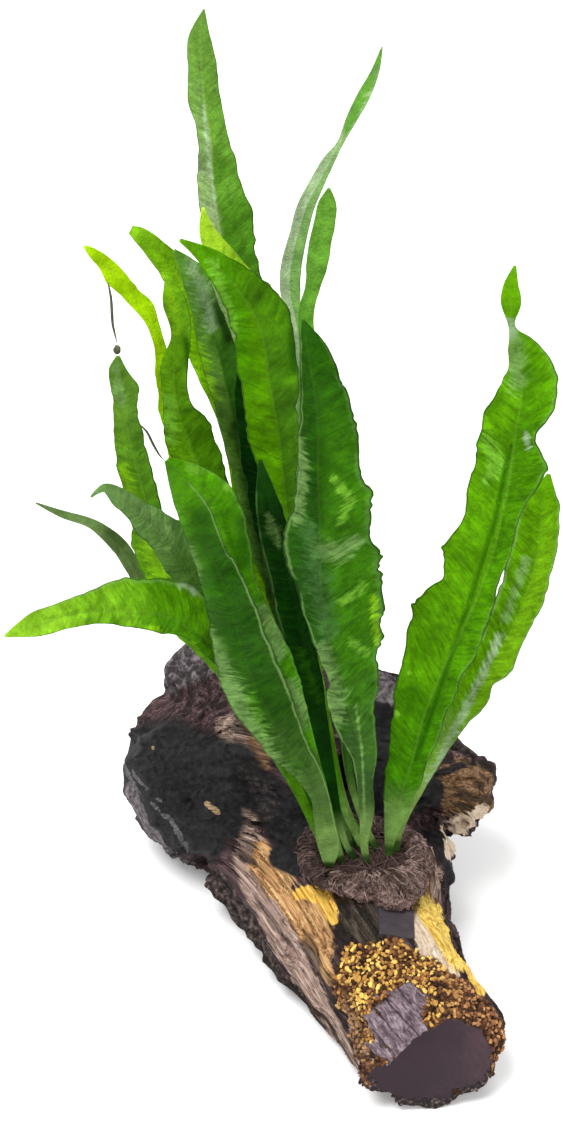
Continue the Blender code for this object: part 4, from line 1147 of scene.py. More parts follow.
# Every leaf, from its foot on the rhizome (x, y in mm) to its tip. A station gives the midrib's
# place in the photograph, how many mm it lies behind the foot of the plant, the width of the blade
# on the left and right of the midrib in mm, and the degrees that its right side turns away. Where
# the right width is left out, both are the same, and where the turn is left out, it is none.
LEAVES = {
    "tall_back": ((0.5, 11), (
        (338, 790, 15.5, 1.2), (305, 680, 23, 2, 2, 5), (275, 540, 32, 4, 4.5, 10),
        (248, 400, 40, 6, 7, 15), (230, 290, 46, 6, 8.6, 12), (219, 225, 50, 4.8, 9.3, 8),
        (213, 180, 53, 4.2, 7.8, 4), (211, 140, 55, 3.5, 4.7), (205, 104, 57, 4.2, 4.6),
        (202, 73, 58, 3.8, 4.1), (200, 39, 59, 3.1, 2.9), (204, 9, 60, 0.2))),
    "thin_twisted": ((3.5, 9.5), (
        (350, 780, 13, 1), (336, 680, 19, 1.2, 1.2, 10), (308, 520, 26, 1.5, 1.5, 30),
        (297, 430, 30, 1.6, 1.6, 40), (299, 345, 33, 1.2, 1.2, 20), (295, 318, 34, 1.7),
        (290, 292, 35, 2.6, 2.7), (291, 265, 36, 2.6, 2.8), (298, 235, 37, 2.3, 2.5),
        (306, 208, 38, 2.4, 2.1), (319, 183, 39, 2.4, 1.5), (331, 160, 40, 2, 1.1),
        (340, 143, 40, 0.8, 0.9), (351, 120, 41, 1.4), (363, 97, 41, 1.7), (375, 72, 42, 1.1),
        (382, 47, 42, 0.2))),
    "short_folded": ((4.6, 6.4), (
        (353, 790, 10.5, 1), (340, 680, 14, 1.4, 1.4, 5), (325, 520, 19, 2, 2, 15),
        (313, 400, 22, 2.2, 2.2, 20), (306, 320, 24, 2, 2, 10), (312, 288, 25, 1.8, 2.2),
        (317, 266, 25, 2.8), (319, 245, 26, 2.8, 3), (324, 220, 26, 2.6, 3), (327, 203, 26, 2.2, 2.5),
        (329, 188, 26, 0.3))),
    "broad_bright": ((1.4, 4.6), (
        (341, 800, 6, 1), (318, 690, 8, 1.4), (300, 600, 9, 1.8), (291, 540, 9, 2.2),
        (284, 483, 9.5, 6, 3.2, 6), (279, 434, 9.5, 8.2, 5.5, 8), (270, 386, 9.5, 7.6, 7, 8),
        (262, 335, 9.5, 7.4, 8.4, 6), (245, 300, 9.5, 6.3, 7.4, 4), (222, 271, 8, 3.8, 4.4),
        (200, 252, 7, 1.9), (180, 240, 6, 0.4))),
    "yellow_tip": ((1.8, 7.6), (
        (344, 800, 9.5, 1), (320, 690, 14, 1.6), (293, 540, 18, 2.6), (276, 430, 20, 4), (262, 345, 21, 5),
        (248, 296, 21, 4.4, 4.2), (231, 268, 20, 3.8, 3.6), (215, 247, 19, 3.2, 3),
        (206, 228, 18, 1.8, 1.9), (203, 208, 17, 0.3))),
    "blunt_tip": ((-3.8, 10.6), (
        (326, 790, 13.8, 1.1), (290, 680, 19, 2), (255, 540, 24, 3.6, 3.6, -8),
        (225, 430, 28, 1.2, 4.6, -12), (200, 340, 31, 5, 5, -12), (190, 298, 32, 4.8, 4.6, -8),
        (180, 278, 32, 4.2, 4), (167, 261, 32, 3.5), (150, 244, 31, 2.7), (138, 234, 30, 2),
        (131, 230, 30, 1.2))),
    "grey_back": ((-1.5, 8.8), (
        (333, 790, 11.5, 1.1), (302, 680, 16, 2.2), (264, 540, 20.5, 4), (236, 430, 23.5, 4, 5.2),
        (222, 370, 25, 5, 4.8), (212, 332, 25, 4.4), (203, 300, 25, 3.8), (192, 273, 24, 3.2),
        (174, 250, 23, 0.4))),
    "two_tone": ((-4.4, 6), (
        (322, 800, 5.5, 1.1), (278, 690, 8.5, 1.8), (250, 610, 10, 3), (222, 530, 12, 5, 5, 5),
        (200, 470, 13, 6, 6.4, 8), (187, 434, 13, 5.8, 6.6, 8), (177, 402, 13, 3.6, 3.4, 4),
        (174, 368, 13, 3.6, 3.8), (176, 335, 13, 1.3, 4.1), (174, 300, 12, 2.9, 3.2), (167, 278, 12, 0.6))),
    "ragged_yellow": ((-6.4, 8.4), (
        (313, 790, 8.5, 1.1), (264, 680, 12, 1.8), (215, 560, 16, 2.4), (187, 480, 18, 2.6),
        (170, 415, 18, 2.6), (163, 370, 18, 2.2), (160, 348, 18, 1.7), (154, 328, 18, 1.6),
        (146, 311, 18, 2.2, 2.1), (132, 296, 18, 2.2), (118, 278, 17, 2.6, 2.1), (104, 264, 17, 1.9),
        (93, 253, 16, 1.4), (84, 246, 16, 0.3))),
    "beaded": ((-7.6, 5.4), (
        (316, 820, 4, 1.1), (268, 740, 3, 1.6), (222, 668, 2, 2.4), (180, 610, 1, 4.6, 3),
        (160, 560, 0, 6, 3.6, -8), (151, 522, 0, 5.2, 4, -14), (144, 495, -1, 5, 3.6, -16),
        (137, 470, -1, 4.7, 3.8, -16), (131, 446, -1, 3.9, 3.8, -14), (127, 427, -1, 3.2, 3.3, -10),
        (124, 408, -1, 2.9, 3.5, -6), (122, 390, -1, 2.9, 4.4), (119, 370, -1, 2.7, 2),
        (118, 356, -1, 0.4))),
    "curled_tip": ((-6.6, 3.6), (
        (320, 820, 0.5, 1.1), (268, 740, -3, 2), (222, 650, -8, 3.4), (192, 580, -12, 4.6),
        (171, 545, -13, 4.6, 6.4, 4), (148, 523, -14, 3.9, 5, 8), (130, 507, -14, 2.8, 3.3, 8),
        (117, 495, -14, 2.2, 2.2, 4), (106, 488, -14, 1.3), (98, 491, -14, 0.7), (91, 497, -14, 0.3))),
    "thin_dark": ((-9.6, 7.2), (
        (307, 810, 6, 1), (256, 725, 6, 1.2), (198, 640, 6, 1.8), (150, 594, 6, 2.2), (133, 567, 6, 2.2),
        (120, 547, 6, 2.2), (104, 532, 5, 1.8), (88, 522, 5, 1.3), (62, 514, 4, 1), (36, 503, 3, 0.2))),
    "low_left": ((-8.6, 2.4), (
        (322, 842, -1.4, 1.2), (298, 790, -6, 1.4, 1.6), (272, 738, -11, 1.8, 2.4),
        (250, 698, -15, 2, 3.2), (228, 664, -18.5, 2.6, 4.6, 5), (203, 639, -21, 3, 7.2, 8),
        (184, 626, -22.5, 2.7, 9.4, 12), (166, 617, -24, 4.5, 9.8, 12), (143, 613, -27, 4.2, 9.2, 12),
        (116, 611, -30, 3.6, 8.2, 10), (93, 611, -32, 3.4, 5.2, 6), (63, 617, -35, 3.3, 3.6),
        (33, 626, -37, 2.8, 3.1), (5, 636, -39, 0.3))),
    "front_left": ((-10, -0.2), (
        (328, 846, -3.4, 3, 3.4), (324, 820, -5.5, 3), (319, 795, -8, 2.6, 2.8), (306, 770, -10, 3.9),
        (295, 756, -11, 5), (283, 738, -13, 6.2), (273, 720, -15, 7, 7, -4), (260, 697, -17, 8.2, 8.2, -6),
        (251, 675, -19, 8.4, 8.4, -8), (241, 643, -22, 7.6, 7.6, -8), (232, 609, -25, 6.3, 6.3, -8),
        (222, 581, -27, 5.5, 5.5, -6), (209, 552, -30, 4.3, 4.3, -4), (193, 511, -33, 4),
        (178, 484, -35, 2.2), (166, 461, -37, 0.3))),
    "behind_front": ((-6, 1.4), (
        (336, 842, -1, 1.2), (322, 792, -5, 1.6, 1.8), (303, 732, -9, 2.6), (286, 690, -12, 4.4, 4.6),
        (268, 645, -15, 4.6), (252, 610, -17, 4.4, 4), (239, 575, -19, 4.6, 4), (228, 540, -20, 5.6, 5.4),
        (214, 505, -22, 6, 6.4), (196, 479, -23, 3.4), (168, 459, -24, 0.4))),
    "large_glossy": ((1.6, 0.6), (
        (364, 842, 0.4, 1.2, 1.3), (365, 810, -1, 1.6, 2.8), (364, 783, -2, 2.2, 2.6),
        (362, 760, -3, 2.8, 4.4), (356, 732, -4, 4.8, 5.8), (346, 701, -5, 5.2, 10, 4),
        (339, 678, -6, 3, 12, 6), (331, 648, -8, 4.2, 14.8, 8), (326, 624, -9, 4.9, 16.7, 8),
        (321, 588, -10, 6.2, 16.8, 8), (320, 558, -11, 8.6, 15.6, 8), (320, 534, -12, 9.6, 13.4, 8),
        (319, 508, -13, 7.2, 14.3, 6), (318, 474, -14, 5.2, 11.4, 4), (318, 435, -15, 4.8, 10.1),
        (316, 405, -16, 4, 8.3), (312, 378, -17, 3, 6.8), (307, 350, -17, 1.6, 5.2), (303, 320, -18, 0.3))),
    "big_right": ((8.2, 4), (
        (390, 838, 5.4, 1.7, 1.8), (401, 798, 6, 5, 3.6), (413, 757, 7, 7.2, 4.8, -5),
        (425, 713, 7, 9.3, 6, -8), (442, 670, 8, 12.8, 6.2, -10), (464, 627, 8, 15, 5.8, -12),
        (479, 594, 8, 11.2, 5, -12), (491, 560, 8, 13.4, 4.4, -12), (499, 526, 8, 10.7, 4.6, -10),
        (508, 488, 9, 10.2, 7, -8), (512, 460, 9, 9.3, 9.4, -6), (516, 432, 9, 9.4, 5.8, -4),
        (521, 400, 9, 7.4, 9), (522, 371, 9, 3.9, 8.6), (518, 346, 9, 2.6, 4.6), (512, 327, 9, 0.9),
        (511, 303, 8, 2.5, 2.6), (510, 286, 8, 1.7, 2.2), (515, 266, 7, 0.3))),
    "right_behind": ((10.6, 6.6), (
        (400, 824, 11, 1.4, 1.6), (418, 785, 15, 3, 2.4), (440, 745, 18, 4, 3), (458, 716, 20.5, 4.8, 3.6),
        (470, 697, 22, 5.4, 5.6, 2), (482, 678, 23.5, 6, 4.2, 4), (493, 661, 25, 6.5, 6.2, 6),
        (506, 640, 27, 7, 5, 8), (524, 600, 30, 8, 5.6, 10), (535, 562, 32, 8, 5.4, 10),
        (540, 528, 34, 7, 5.6, 8), (542, 505, 35, 5, 5, 5), (545, 488, 35, 2.6, 3), (549, 474, 35, 0.5))),
    "dark_centre": ((-2.2, 5.8), (
        (335, 800, 8.2, 1.1), (310, 690, 11.5, 2.6), (290, 600, 13.5, 4.4), (268, 500, 15, 5),
        (254, 420, 15.5, 4.6), (246, 370, 16, 2.6), (243, 340, 16, 0.4))),
    "dark_low": ((-2.2, 2.6), (
        (341, 830, 2, 1.1), (320, 730, 1, 2.6), (300, 640, 0, 4.2), (281, 560, -1, 4.4),
        (268, 505, -2, 3.2), (260, 460, -2, 0.4))),
}
print("leaves:", len(LEAVES), "stations:", sum(len(stations) for _, stations in LEAVES.values()))

# %% [markdown]
# ## Leaves: one blade
# A java fern's blade is thin and stiff. It has a groove along the midrib, a margin that ripples,
# and slight swellings between its side veins. All of these are offsets from one smooth grid: along
# the blade's own facing direction they leave the outline as it is in the photograph. The solidify
# modifier gives the thickness last.

# %% From stations to rows
# The foot of a stalk is this many mm above the rhizome, and the leaves spread in depth towards their
# tips by this share of their places
FOOT_GAP = 0.56
STALK_HALF_WIDTH = 1.0
FAN_OUT = 0.45


def seen_at(across, down, back):
    """The point in mm that shows at a pixel and lies `back` mm behind the foot of the plant."""
    ray = (ACROSS_VIEW * (across - PHOTO_MIDDLE[0]) - UP_VIEW * (down - PHOTO_MIDDLE[1])) / FOCAL + INTO_VIEW
    return EYE + ray * ((back - EYE[1]) / ray[1])


def blade_rows(foot, stations):
    """Rows of x, y, z, left half width, right half width and turn, from the stalk's foot on."""
    level = 1 - np.sum(((np.array(foot) - RHIZOME_MIDDLE[:2]) / RHIZOME_RADII[:2]) ** 2)
    top = RHIZOME_MIDDLE[2] + RHIZOME_RADII[2] * math.sqrt(max(level, 0))
    rows = [(*foot, top + FOOT_GAP, STALK_HALF_WIDTH, STALK_HALF_WIDTH, 0)]
    for index, numbers in enumerate(stations):
        station = Station(*numbers)
        back = station.back * (1 + FAN_OUT * index / (len(stations) - 1))
        right = station.left if station.right is None else station.right
        widen = 1 / math.cos(math.radians(station.turn))
        point = seen_at(station.across, station.down, back)
        rows.append((*point, station.left * widen, right * widen, station.turn))
    return rows


print("rows of the first leaf:", len(blade_rows(*LEAVES["tall_back"])))

# %% [markdown]
# ### The greens of every leaf
# No two leaves are the same green: young ones are yellow, older ones grey-green. Into the greens
# is painted light: halves and leaves that lie flat under the light from above are painted lighter,
# some carry a painted grey sheen, and the leaves deep in the clump are painted near-black shade.
# Each leaf has a look, and then a few soft touches of other greens.

# %% The look of every leaf
Look = namedtuple("Look", "low left right tip wax ruffle rib rims", defaults=((0, 0),))
# Greens near the stalk, on the left and right half and at the tip, share of painted grey sheen on the
# margins, ruffle in mm, how much paler the midrib is, and how bright the painted highlights on the
# left and right rims are. The two halves differ partly as painted light and shade.
LOOKS = {
    "tall_back": Look((.04, .14, .01), (.27, .38, .16), (.066, .205, .008), (.11, .24, .03), .1, .7, .4),
    "thin_twisted": Look((.06, .16, .03), (.36, .47, .28), (.16, .32, .08), (.24, .38, .15), .2, .5, .2),
    "short_folded": Look((.03, .10, .01), (.07, .22, .02), (.10, .28, .02), (.12, .30, .03), 0, .4, .2),
    "broad_bright": Look((.07, .26, .001), (.11, .33, .001), (.065, .20, .006), (.09, .28, .001), 0, .7, .2),
    "yellow_tip": Look((.08, .25, .005), (.46, .72, .05), (.13, .36, .01), (.42, .70, .03), 0, .4, .1),
    "blunt_tip": Look((.06, .19, .004), (.21, .48, .002), (.12, .31, .003), (.18, .40, .008), 0, .6, .1),
    "grey_back": Look((.004, .03, .001), (.14, .31, .04), (.04, .15, .01), (.12, .30, .03), .3, .5, .1),
    "two_tone": Look((.006, .04, .001), (.12, .32, .004), (.06, .18, .002), (.14, .36, .008), 0, .6, .1),
    "ragged_yellow": Look((.09, .23, .003), (.33, .60, .002), (.25, .50, .002), (.36, .62, .003), 0, .6, .2),
    "beaded": Look((.19, .47, .006), (.12, .32, .008), (.08, .24, .006), (.10, .23, .02), 0, .6, .2),
    "curled_tip": Look((.04, .14, .01), (.12, .26, .04), (.07, .18, .02), (.13, .26, .07), .2, .5, .2),
    "thin_dark": Look((.04, .10, .01), (.13, .21, .06), (.09, .16, .04), (.12, .20, .06), .1, .3, 0),
    "low_left": Look((.06, .20, .002), (.06, .22, .002), (.085, .28, .002), (.24, .50, .02),
                     0, .7, .2, (0, .3)),
    "front_left": Look((.07, .15, .03), (.026, .11, .003), (.015, .08, .001), (.07, .26, .002),
                       .12, .6, .04, (0, .6)),
    "behind_front": Look((.09, .20, .03), (.075, .29, .001), (.055, .23, .001), (.08, .30, .002),
                         0, .8, .06, (.3, .2)),
    "large_glossy": Look((.045, .11, .022), (.02, .10, .004), (.043, .18, .002), (.018, .10, .002),
                         0, 1.3, .12, (.55, .2)),
    "big_right": Look((.045, .19, .001), (.088, .28, .001), (.066, .235, .001), (.13, .38, .001),
                      0, 1.1, .25, (0, .2)),
    "right_behind": Look((.26, .42, .10), (.09, .26, .001), (.15, .35, .005), (.10, .29, .001),
                         0, .6, .1, (.5, .4)),
    # Painted shade: the two leaves deep in the clump are near-black
    "dark_centre": Look((.001, .02, .001), (.001, .022, .001), (.001, .022, .001), (.004, .04, .001),
                        0, .5, 0),
    "dark_low": Look((.003, .035, .001), (.004, .045, .001), (.004, .04, .001), (.012, .07, .005),
                     0, .5, 0, (.3, 0)),
}
print("looks:", len(LOOKS))

# %% Touches of other greens
# Some of these greens are painted light: light is a painted highlight, grey a whitish grey-green, mostly a
# painted sheen, and some pale strokes are painted sheen and lit edges.
TOUCH_COLOURS = {
    "dull": (.05, .145, .03), "deep": (.016, .09, .001), "lime": (.22, .48, .008), "fresh": (.07, .265, .001),
    "light": (.17, .43, .03), "pale": (.17, .31, .085), "grey": (.30, .42, .24), "dark": (.003, .03, .001),
}
# Strokes of other greens that the photograph shows on single leaves. A stroke is a line of places:
# pixels across and down, and the radius. It fades out softly, so it reaches wider than its radius.
TOUCH_REACH = 1.6
TOUCHES = {
    "tall_back": (
        ("grey", (203, 104, 1.5), (209, 160, 2.2), (216, 218, 1.8)),
    ),
    "thin_twisted": (
        ("fresh", (381, 52, 3), (368, 82, 6), (357, 105, 6), (346, 130, 4)),
    ),
    "two_tone": (
        ("lime", (166, 285, 6), (172, 305, 7), (177, 328, 5)),
        ("deep", (186, 340, 3), (190, 372, 3)),
        ("light", (168, 400, 6), (172, 440, 6)),
        # Painted shade low on the blade, where it lies deep in the clump
        ("dark", (238, 440, 4), (236, 480, 8), (244, 540, 9), (254, 600, 9)),
    ),
    "blunt_tip": (
        ("lime", (164, 246, 4), (176, 260, 5), (179, 300, 5)),
    ),
    "grey_back": (
        # Painted sheen: a whitish stripe down the blade
        ("grey", (190, 262, 5), (202, 290, 8), (212, 325, 7)),
        ("dark", (216, 305, 4), (228, 338, 5)),
        ("lime", (200, 345, 4), (214, 400, 5)),
        # Painted shade low on the blade, where it lies deep in the clump
        ("dark", (236, 425, 7), (245, 470, 8), (258, 530, 8), (272, 600, 8), (285, 660, 8)),
    ),
    "broad_bright": (
        ("fresh", (205, 240, 9), (232, 300, 12), (245, 380, 12)),
        ("light", (212, 262, 5), (235, 330, 4)),
        ("deep", (292, 305, 4), (294, 370, 4)),
    ),
    "curled_tip": (
        ("pale", (112, 490, 6), (140, 508, 8), (168, 536, 8)),
    ),
    "beaded": (
        ("pale", (116, 365, 4), (120, 400, 5)),
        ("lime", (124, 470, 6), (148, 548, 7), (160, 575, 8)),
    ),
    "low_left": (
        # Painted highlight in the grey stroke, and painted light on the lime band below the midrib
        ("grey", (182, 584, 4), (195, 590, 4)),
        ("lime", (150, 630, 4), (192, 648, 5)),
    ),
    "front_left": (
        ("fresh", (170, 458, 8), (184, 478, 12), (200, 492, 9)),
        # These pale strokes on the left are painted sheen
        ("pale", (184, 548, 7), (192, 575, 8)),
        ("pale", (202, 625, 7), (220, 668, 11), (245, 722, 12), (272, 768, 10), (300, 800, 8)),
        ("deep", (205, 520, 12), (222, 580, 14), (242, 650, 13)),
        ("fresh", (250, 700, 6), (262, 735, 6)),
    ),
    "behind_front": (
        ("light", (190, 467, 5), (200, 470, 4)),
        ("light", (228, 486, 5), (240, 490, 4)),
        ("deep", (243, 520, 8), (245, 560, 8)),
        # These two pale strokes are painted highlights on lit edges
        ("pale", (262, 612, 7), (276, 634, 9), (279, 655, 6)),
        ("pale", (290, 684, 6), (301, 706, 8), (303, 724, 5)),
        ("deep", (300, 740, 6), (320, 790, 7)),
    ),
    "large_glossy": (
        # On the left half the pale strip and the dull grey-green are painted sheen; the light strokes are
        # painted highlights
        ("deep", (310, 400, 8), (318, 470, 11), (316, 520, 9)),
        ("pale", (299, 440, 5), (302, 480, 6), (298, 520, 5)),
        ("dull", (308, 530, 8), (318, 580, 11), (326, 630, 11)),
        ("light", (334, 478, 4), (350, 500, 5), (341, 522, 4)),
        ("pale", (318, 550, 8), (338, 552, 10), (357, 540, 6)),
        ("light", (342, 602, 4), (362, 586, 5)),
        ("light", (352, 640, 4), (366, 652, 4)),
        ("lime", (374, 598, 4), (377, 642, 4)),
        ("pale", (322, 650, 8), (330, 690, 12), (336, 715, 9)),
        ("deep", (318, 735, 7), (338, 775, 8)),
        ("pale", (355, 700, 1.2), (362, 750, 1.2), (365, 830, 1.4)),
    ),
    "big_right": (
        ("grey", (511, 322, 5), (512, 334, 6)),
        ("pale", (514, 345, 8), (518, 380, 9)),
        ("grey", (526, 432, 2.5), (528, 446, 3.5)),
        ("light", (488, 440, 6), (498, 462, 7), (486, 480, 6)),
        ("deep", (511, 445, 2.2), (495, 520, 2.5), (470, 600, 2.5), (440, 690, 2.5), (416, 760, 2.5)),
        ("light", (396, 713, 3)),
        ("light", (409, 673, 2.5)),
    ),
    "right_behind": (
        ("pale", (526, 560, 4), (505, 620, 4)),
        ("grey", (500, 635, 4), (480, 680, 4), (455, 730, 4), (430, 780, 4)),
    ),
    "dark_centre": (
        ("pale", (268, 514, 3), (273, 530, 6), (278, 544, 3)),
        ("deep", (262, 560, 4), (275, 600, 4)),
    ),
    "dark_low": (
        ("pale", (268, 514, 3), (273, 530, 6), (278, 544, 3)),
        ("deep", (300, 650, 4), (318, 700, 4)),
    ),
}


def seen_pixels(points):
    """The pixels of the photograph at which points in mm show."""
    away = points - EYE
    depth = away @ INTO_VIEW
    return np.column_stack((PHOTO_MIDDLE[0] + FOCAL * (away @ ACROSS_VIEW) / depth,
                            PHOTO_MIDDLE[1] - FOCAL * (away @ UP_VIEW) / depth))


def paint_touches(blade, name):
    """Keep how near each point is to the strokes of each of the leaf's other greens."""
    pixels = seen_pixels(points_of(blade))
    for kind in TOUCH_COLOURS:
        strokes = [[(across, down, radius * TOUCH_REACH) for across, down, radius in stroke]
                   for touch, *stroke in TOUCHES.get(name, ()) if touch == kind]
        if strokes:
            paint(blade, kind, np.max([stroke_field(pixels, stroke) for stroke in strokes], axis=0))


print("touches:", sum(len(touches) for touches in TOUCHES.values()))

# %% [markdown]
# ### From rows to a blade
# The grid's rows are laid across the midrib, square to the line of sight but for their turn. Each
# margin wanders through the noise on a line of its own, so the two edges of a leaf differ.

# %% Sizes, ways and folds of a blade
ROW_LENGTH, NARROWEST_HALF = 0.85, 0.15
WIDE_BLADE, WIDE_COLUMNS, NARROW_COLUMNS = 12, 26, 16
RAGGED_EDGES = {"front_left": 0.4, "ragged_yellow": 4.5, "beaded": 2.0, "curled_tip": 2.0}
BLADE_CUP, BLADE_THICKNESS = 0.10, 0.42
# Height and size in mm of the midrib's groove, the swellings and the sway of the whole blade
GROOVE, GROOVE_HALF = 0.5, 0.75
SWELLING, SWELLING_SIZE = 0.45, 4.2
SWAY, SWAY_SIZE = 0.8, 16.0


def blade_ways(ribs, turn):
    """At every row, the way across the blade and the way that its back faces."""
    along = unit(np.gradient(ribs, axis=0))
    into = unit(ribs - EYE)
    side = unit(np.cross(into, along))
    away = np.cross(along, side)
    away *= np.sign(np.sum(away * into, axis=1, keepdims=True))
    return side * np.cos(turn) + away * np.sin(turn), away * np.cos(turn) - side * np.sin(turn)


def blade_lift(across, span, width, reach, broad, seed, ripples):
    """How many mm each point stands off the flat blade, towards its back."""
    own_place = np.full(len(reach), seed * 9.0)
    lift = -BLADE_CUP * width * across ** 2
    lift += ripples * np.abs(across) ** 2.4 * broad
    lift += GROOVE * np.exp(-(span / GROOVE_HALF) ** 2) * broad
    slanted = np.column_stack((reach - np.abs(span) * 0.55, span, own_place))
    lift += SWELLING * wander(slanted, SWELLING_SIZE, seed + 3) * broad * np.minimum(np.abs(across) * 3, 1)
    level = np.column_stack((reach, own_place, np.zeros(len(reach))))
    lift += SWAY * wander(level, SWAY_SIZE, seed + 4) * broad
    return lift


print("a blade is", BLADE_THICKNESS, "mm thick and has a row of points every", ROW_LENGTH, "mm")


# %% Bend a grid into every blade
def make_blade(name, foot, stations, seed):
    stalk = blade_rows(foot, stations)
    length = np.linalg.norm(np.diff(np.array(stalk)[:, :3], axis=0), axis=1).sum()
    steps = int(length / ROW_LENGTH)
    rows, reach = even_rows(stalk, steps)
    halves = np.maximum(rows[:, 3:5], NARROWEST_HALF)
    across_way, facing = blade_ways(rows[:, :3], np.radians(rows[:, 5])[:, None])

    columns = WIDE_COLUMNS if halves.sum(axis=1).max() > WIDE_BLADE else NARROW_COLUMNS
    blade, across, row = flat_grid(f"blade_{name}", columns, steps)
    reach = reach[row]
    broad = soft_step(halves.sum(axis=1), 3.5, 9.0)[row]
    margin = np.where(across > 0, 500.0, 0.0) + seed * 40.0
    run = np.column_stack((reach, margin, np.zeros(len(row))))
    notches = 0.055 * wander(run, 5.5, seed) + 0.03 * wander(run, 1.9, seed + 4)
    width = np.where(across > 0, halves[row, 1], halves[row, 0])
    width = width * (1 + notches * RAGGED_EDGES.get(name, 1.0) * np.minimum(width, 4) / 4)
    span = across * width
    ripples = LOOKS[name].ruffle * (wander(run, 8.5, seed + 1) * 0.9 + wander(run, 4.0, seed + 2) * 0.4)
    lift = blade_lift(across, span, width, reach, broad, seed, ripples)
    move_points(blade, rows[row, :3] + across_way[row] * span[:, None] + facing[row] * lift[:, None])

    marks = {"span": span, "across": across, "reach": reach, "share": reach / length, "broad": broad}
    for mark, values in marks.items():
        paint(blade, mark, values)
    paint_touches(blade, name)
    apply_modifier(blade, "SOLIDIFY", thickness=BLADE_THICKNESS * MM, offset=0.0)
    blade.data.shade_smooth()
    return blade


blades = {}
for seed, (name, (foot, stations)) in enumerate(LEAVES.items()):
    blades[name] = make_blade(name, foot, stations, 100 + seed * 5)
print("blades:", len(blades), "triangles:", sum(triangles(blade) for blade in blades.values()))

# %% [markdown]
# ## Leaves: their green
# One function paints every blade, and the table of looks gives each leaf its own greens. The colour
# changes from stalk to tip and from one half to the other, and the halves carry painted light and
# shade. On top come painted light and shade on the folds, a paler midrib, thin side veins, painted
# highlights on some rims, a darker outline, painted shade at the foot of the stalk and, on some
# leaves, a painted grey sheen on the margin. About an eighth of the light passes through the blade,
# which keeps thin leaves bright from behind.

# %% The leaf material
THROUGH_SHARE = 0.12


def let_light_through(finish, colour):
    """Mix the finish with one that lets light through."""
    through = finish.tree.nodes.new("ShaderNodeBsdfTranslucent")
    through.inputs["Color"].default_value = (*colour, 1.0)
    blend = finish.tree.nodes.new("ShaderNodeMixShader")
    blend.inputs[0].default_value = THROUGH_SHARE
    finish.tree.links.new(finish.shader.outputs[0], blend.inputs[1])
    finish.tree.links.new(through.outputs[0], blend.inputs[2])
    finish.tree.links.new(blend.outputs[0], finish.tree.nodes["Material Output"].inputs[0])


def leaf_finish(name, look, touches):
    leaf = Finish(name, Specular_IOR_Level=0.02)
    across, span, reach, share, broad = map(leaf.attribute, ("across", "span", "reach", "share", "broad"))
    here = leaf.place()
    cloud = leaf.noise(here, 0.09, 3.0)
    mottle = leaf.noise(here, 0.35, 4.0, 0.6)
    fine = leaf.noise(here, 1.3, 3.0, 0.6)
    slanted = leaf.node("ShaderNodeCombineXYZ", None, {0: reach - abs(span) * 0.8, 1: span * 0.28, 2: share})
    folds = leaf.noise(slanted, 0.75, 4.0, 0.6, 0.6)

    # From stalk to tip, and from half to half; the halves differ partly as painted light and shade
    on_right = (across + (mottle - 0.5) * 0.3).step(-0.1, 0.12)
    half = leaf.mix(on_right, look.left, look.right)
    where = share + (cloud - 0.5) * 0.3
    green = leaf.mix(where.step(0.14, 0.42), look.low, half)
    green = leaf.mix(where.step(0.72, 1.0), green, look.tip)
    green = leaf.mix(share.step(0.15, 0.06) * 0.8, green, (0.21, 0.36, 0.09))
    # Painted shade on the first few mm of the stalk, down in the root mat
    green = leaf.mix(reach.step(5.5, 3.0) * 0.85, green, (0.012, 0.05, 0.006))
    # Painted sheen: a pale grey-green on the margins, less on the right half
    if look.wax > 0:
        margin = (abs(across) + (leaf.noise(here, 0.2, 3.0) - 0.5) * 1.3).step(0.3, 0.8)
        green = leaf.mix(margin * (1 - on_right * 0.7) * (look.wax * 0.55), green, (0.17, 0.33, 0.09))
    for kind in {kind: True for kind, *_ in touches}:
        patch = (leaf.attribute(kind) + (mottle - 0.5) * 0.8 + (folds - 0.5) * 2.4).step(-0.05, 0.9)
        green = leaf.mix(patch * 0.8, green, TOUCH_COLOURS[kind])

    # Light and dark blotches, and painted light and shade on the folds
    light = ((mottle - 0.5) * 1.2 + 1) * ((cloud - 0.5) * 1.2 + 1) * ((fine - 0.5) * 0.5 + 1)
    light = light * ((folds - 0.5) * broad * 1.7 + 1)
    grey_light = leaf.node("ShaderNodeCombineColor", None, {0: light, 1: light, 2: light})
    green = leaf.mix(1.0, green, grey_light, "MULTIPLY")

    # Veins, midrib, painted highlights on the rims, and outline
    crossing = (reach - abs(span) * 0.9 + (mottle - 0.5) * 2.2) * 1.7
    side_veins = crossing.sine().step(0.9, 1.0) * broad * (1 - abs(across)).step(0.0, 0.3)
    side_veins = side_veins * cloud.step(0.35, 0.6)
    rib = (0.5 - abs(span)).step(-0.15, 0.35) * (0.35 + broad * 0.65)
    pale = leaf.mix(0.35, green, (0.35, 0.55, 0.10))
    dark = leaf.mix(0.65, green, (0.004, 0.02, 0.002))
    green = leaf.mix(side_veins * 0.14, green, pale)
    green = leaf.mix(rib * look.rib, green, pale)
    for rim, side in zip(look.rims, (0 - across, across)):
        if rim:
            line = (side + (mottle - 0.5) * 0.1).step(0.84, 0.92) * broad.step(0, 0.3)
            green = leaf.mix(line * rim * cloud.step(0.3, 0.5), green, (0.22, 0.39, 0.11))
    green = leaf.mix(abs(across).step(0.945, 0.985) * broad * 0.8, green, dark)
    height = leaf.net(here, 0.85).step(0.0, 0.12) * 0.3 + mottle * 0.9 + folds * broad * 0.9
    height = height + fine * 0.4 + rib * 0.5 + side_veins * 0.3
    leaf.wear(green, 0.30 + mottle * 0.25, height, relief=0.5, depth_mm=0.8)
    let_light_through(leaf, [min(part * 1.6, 1.0) for part in look.left])
    return leaf.material


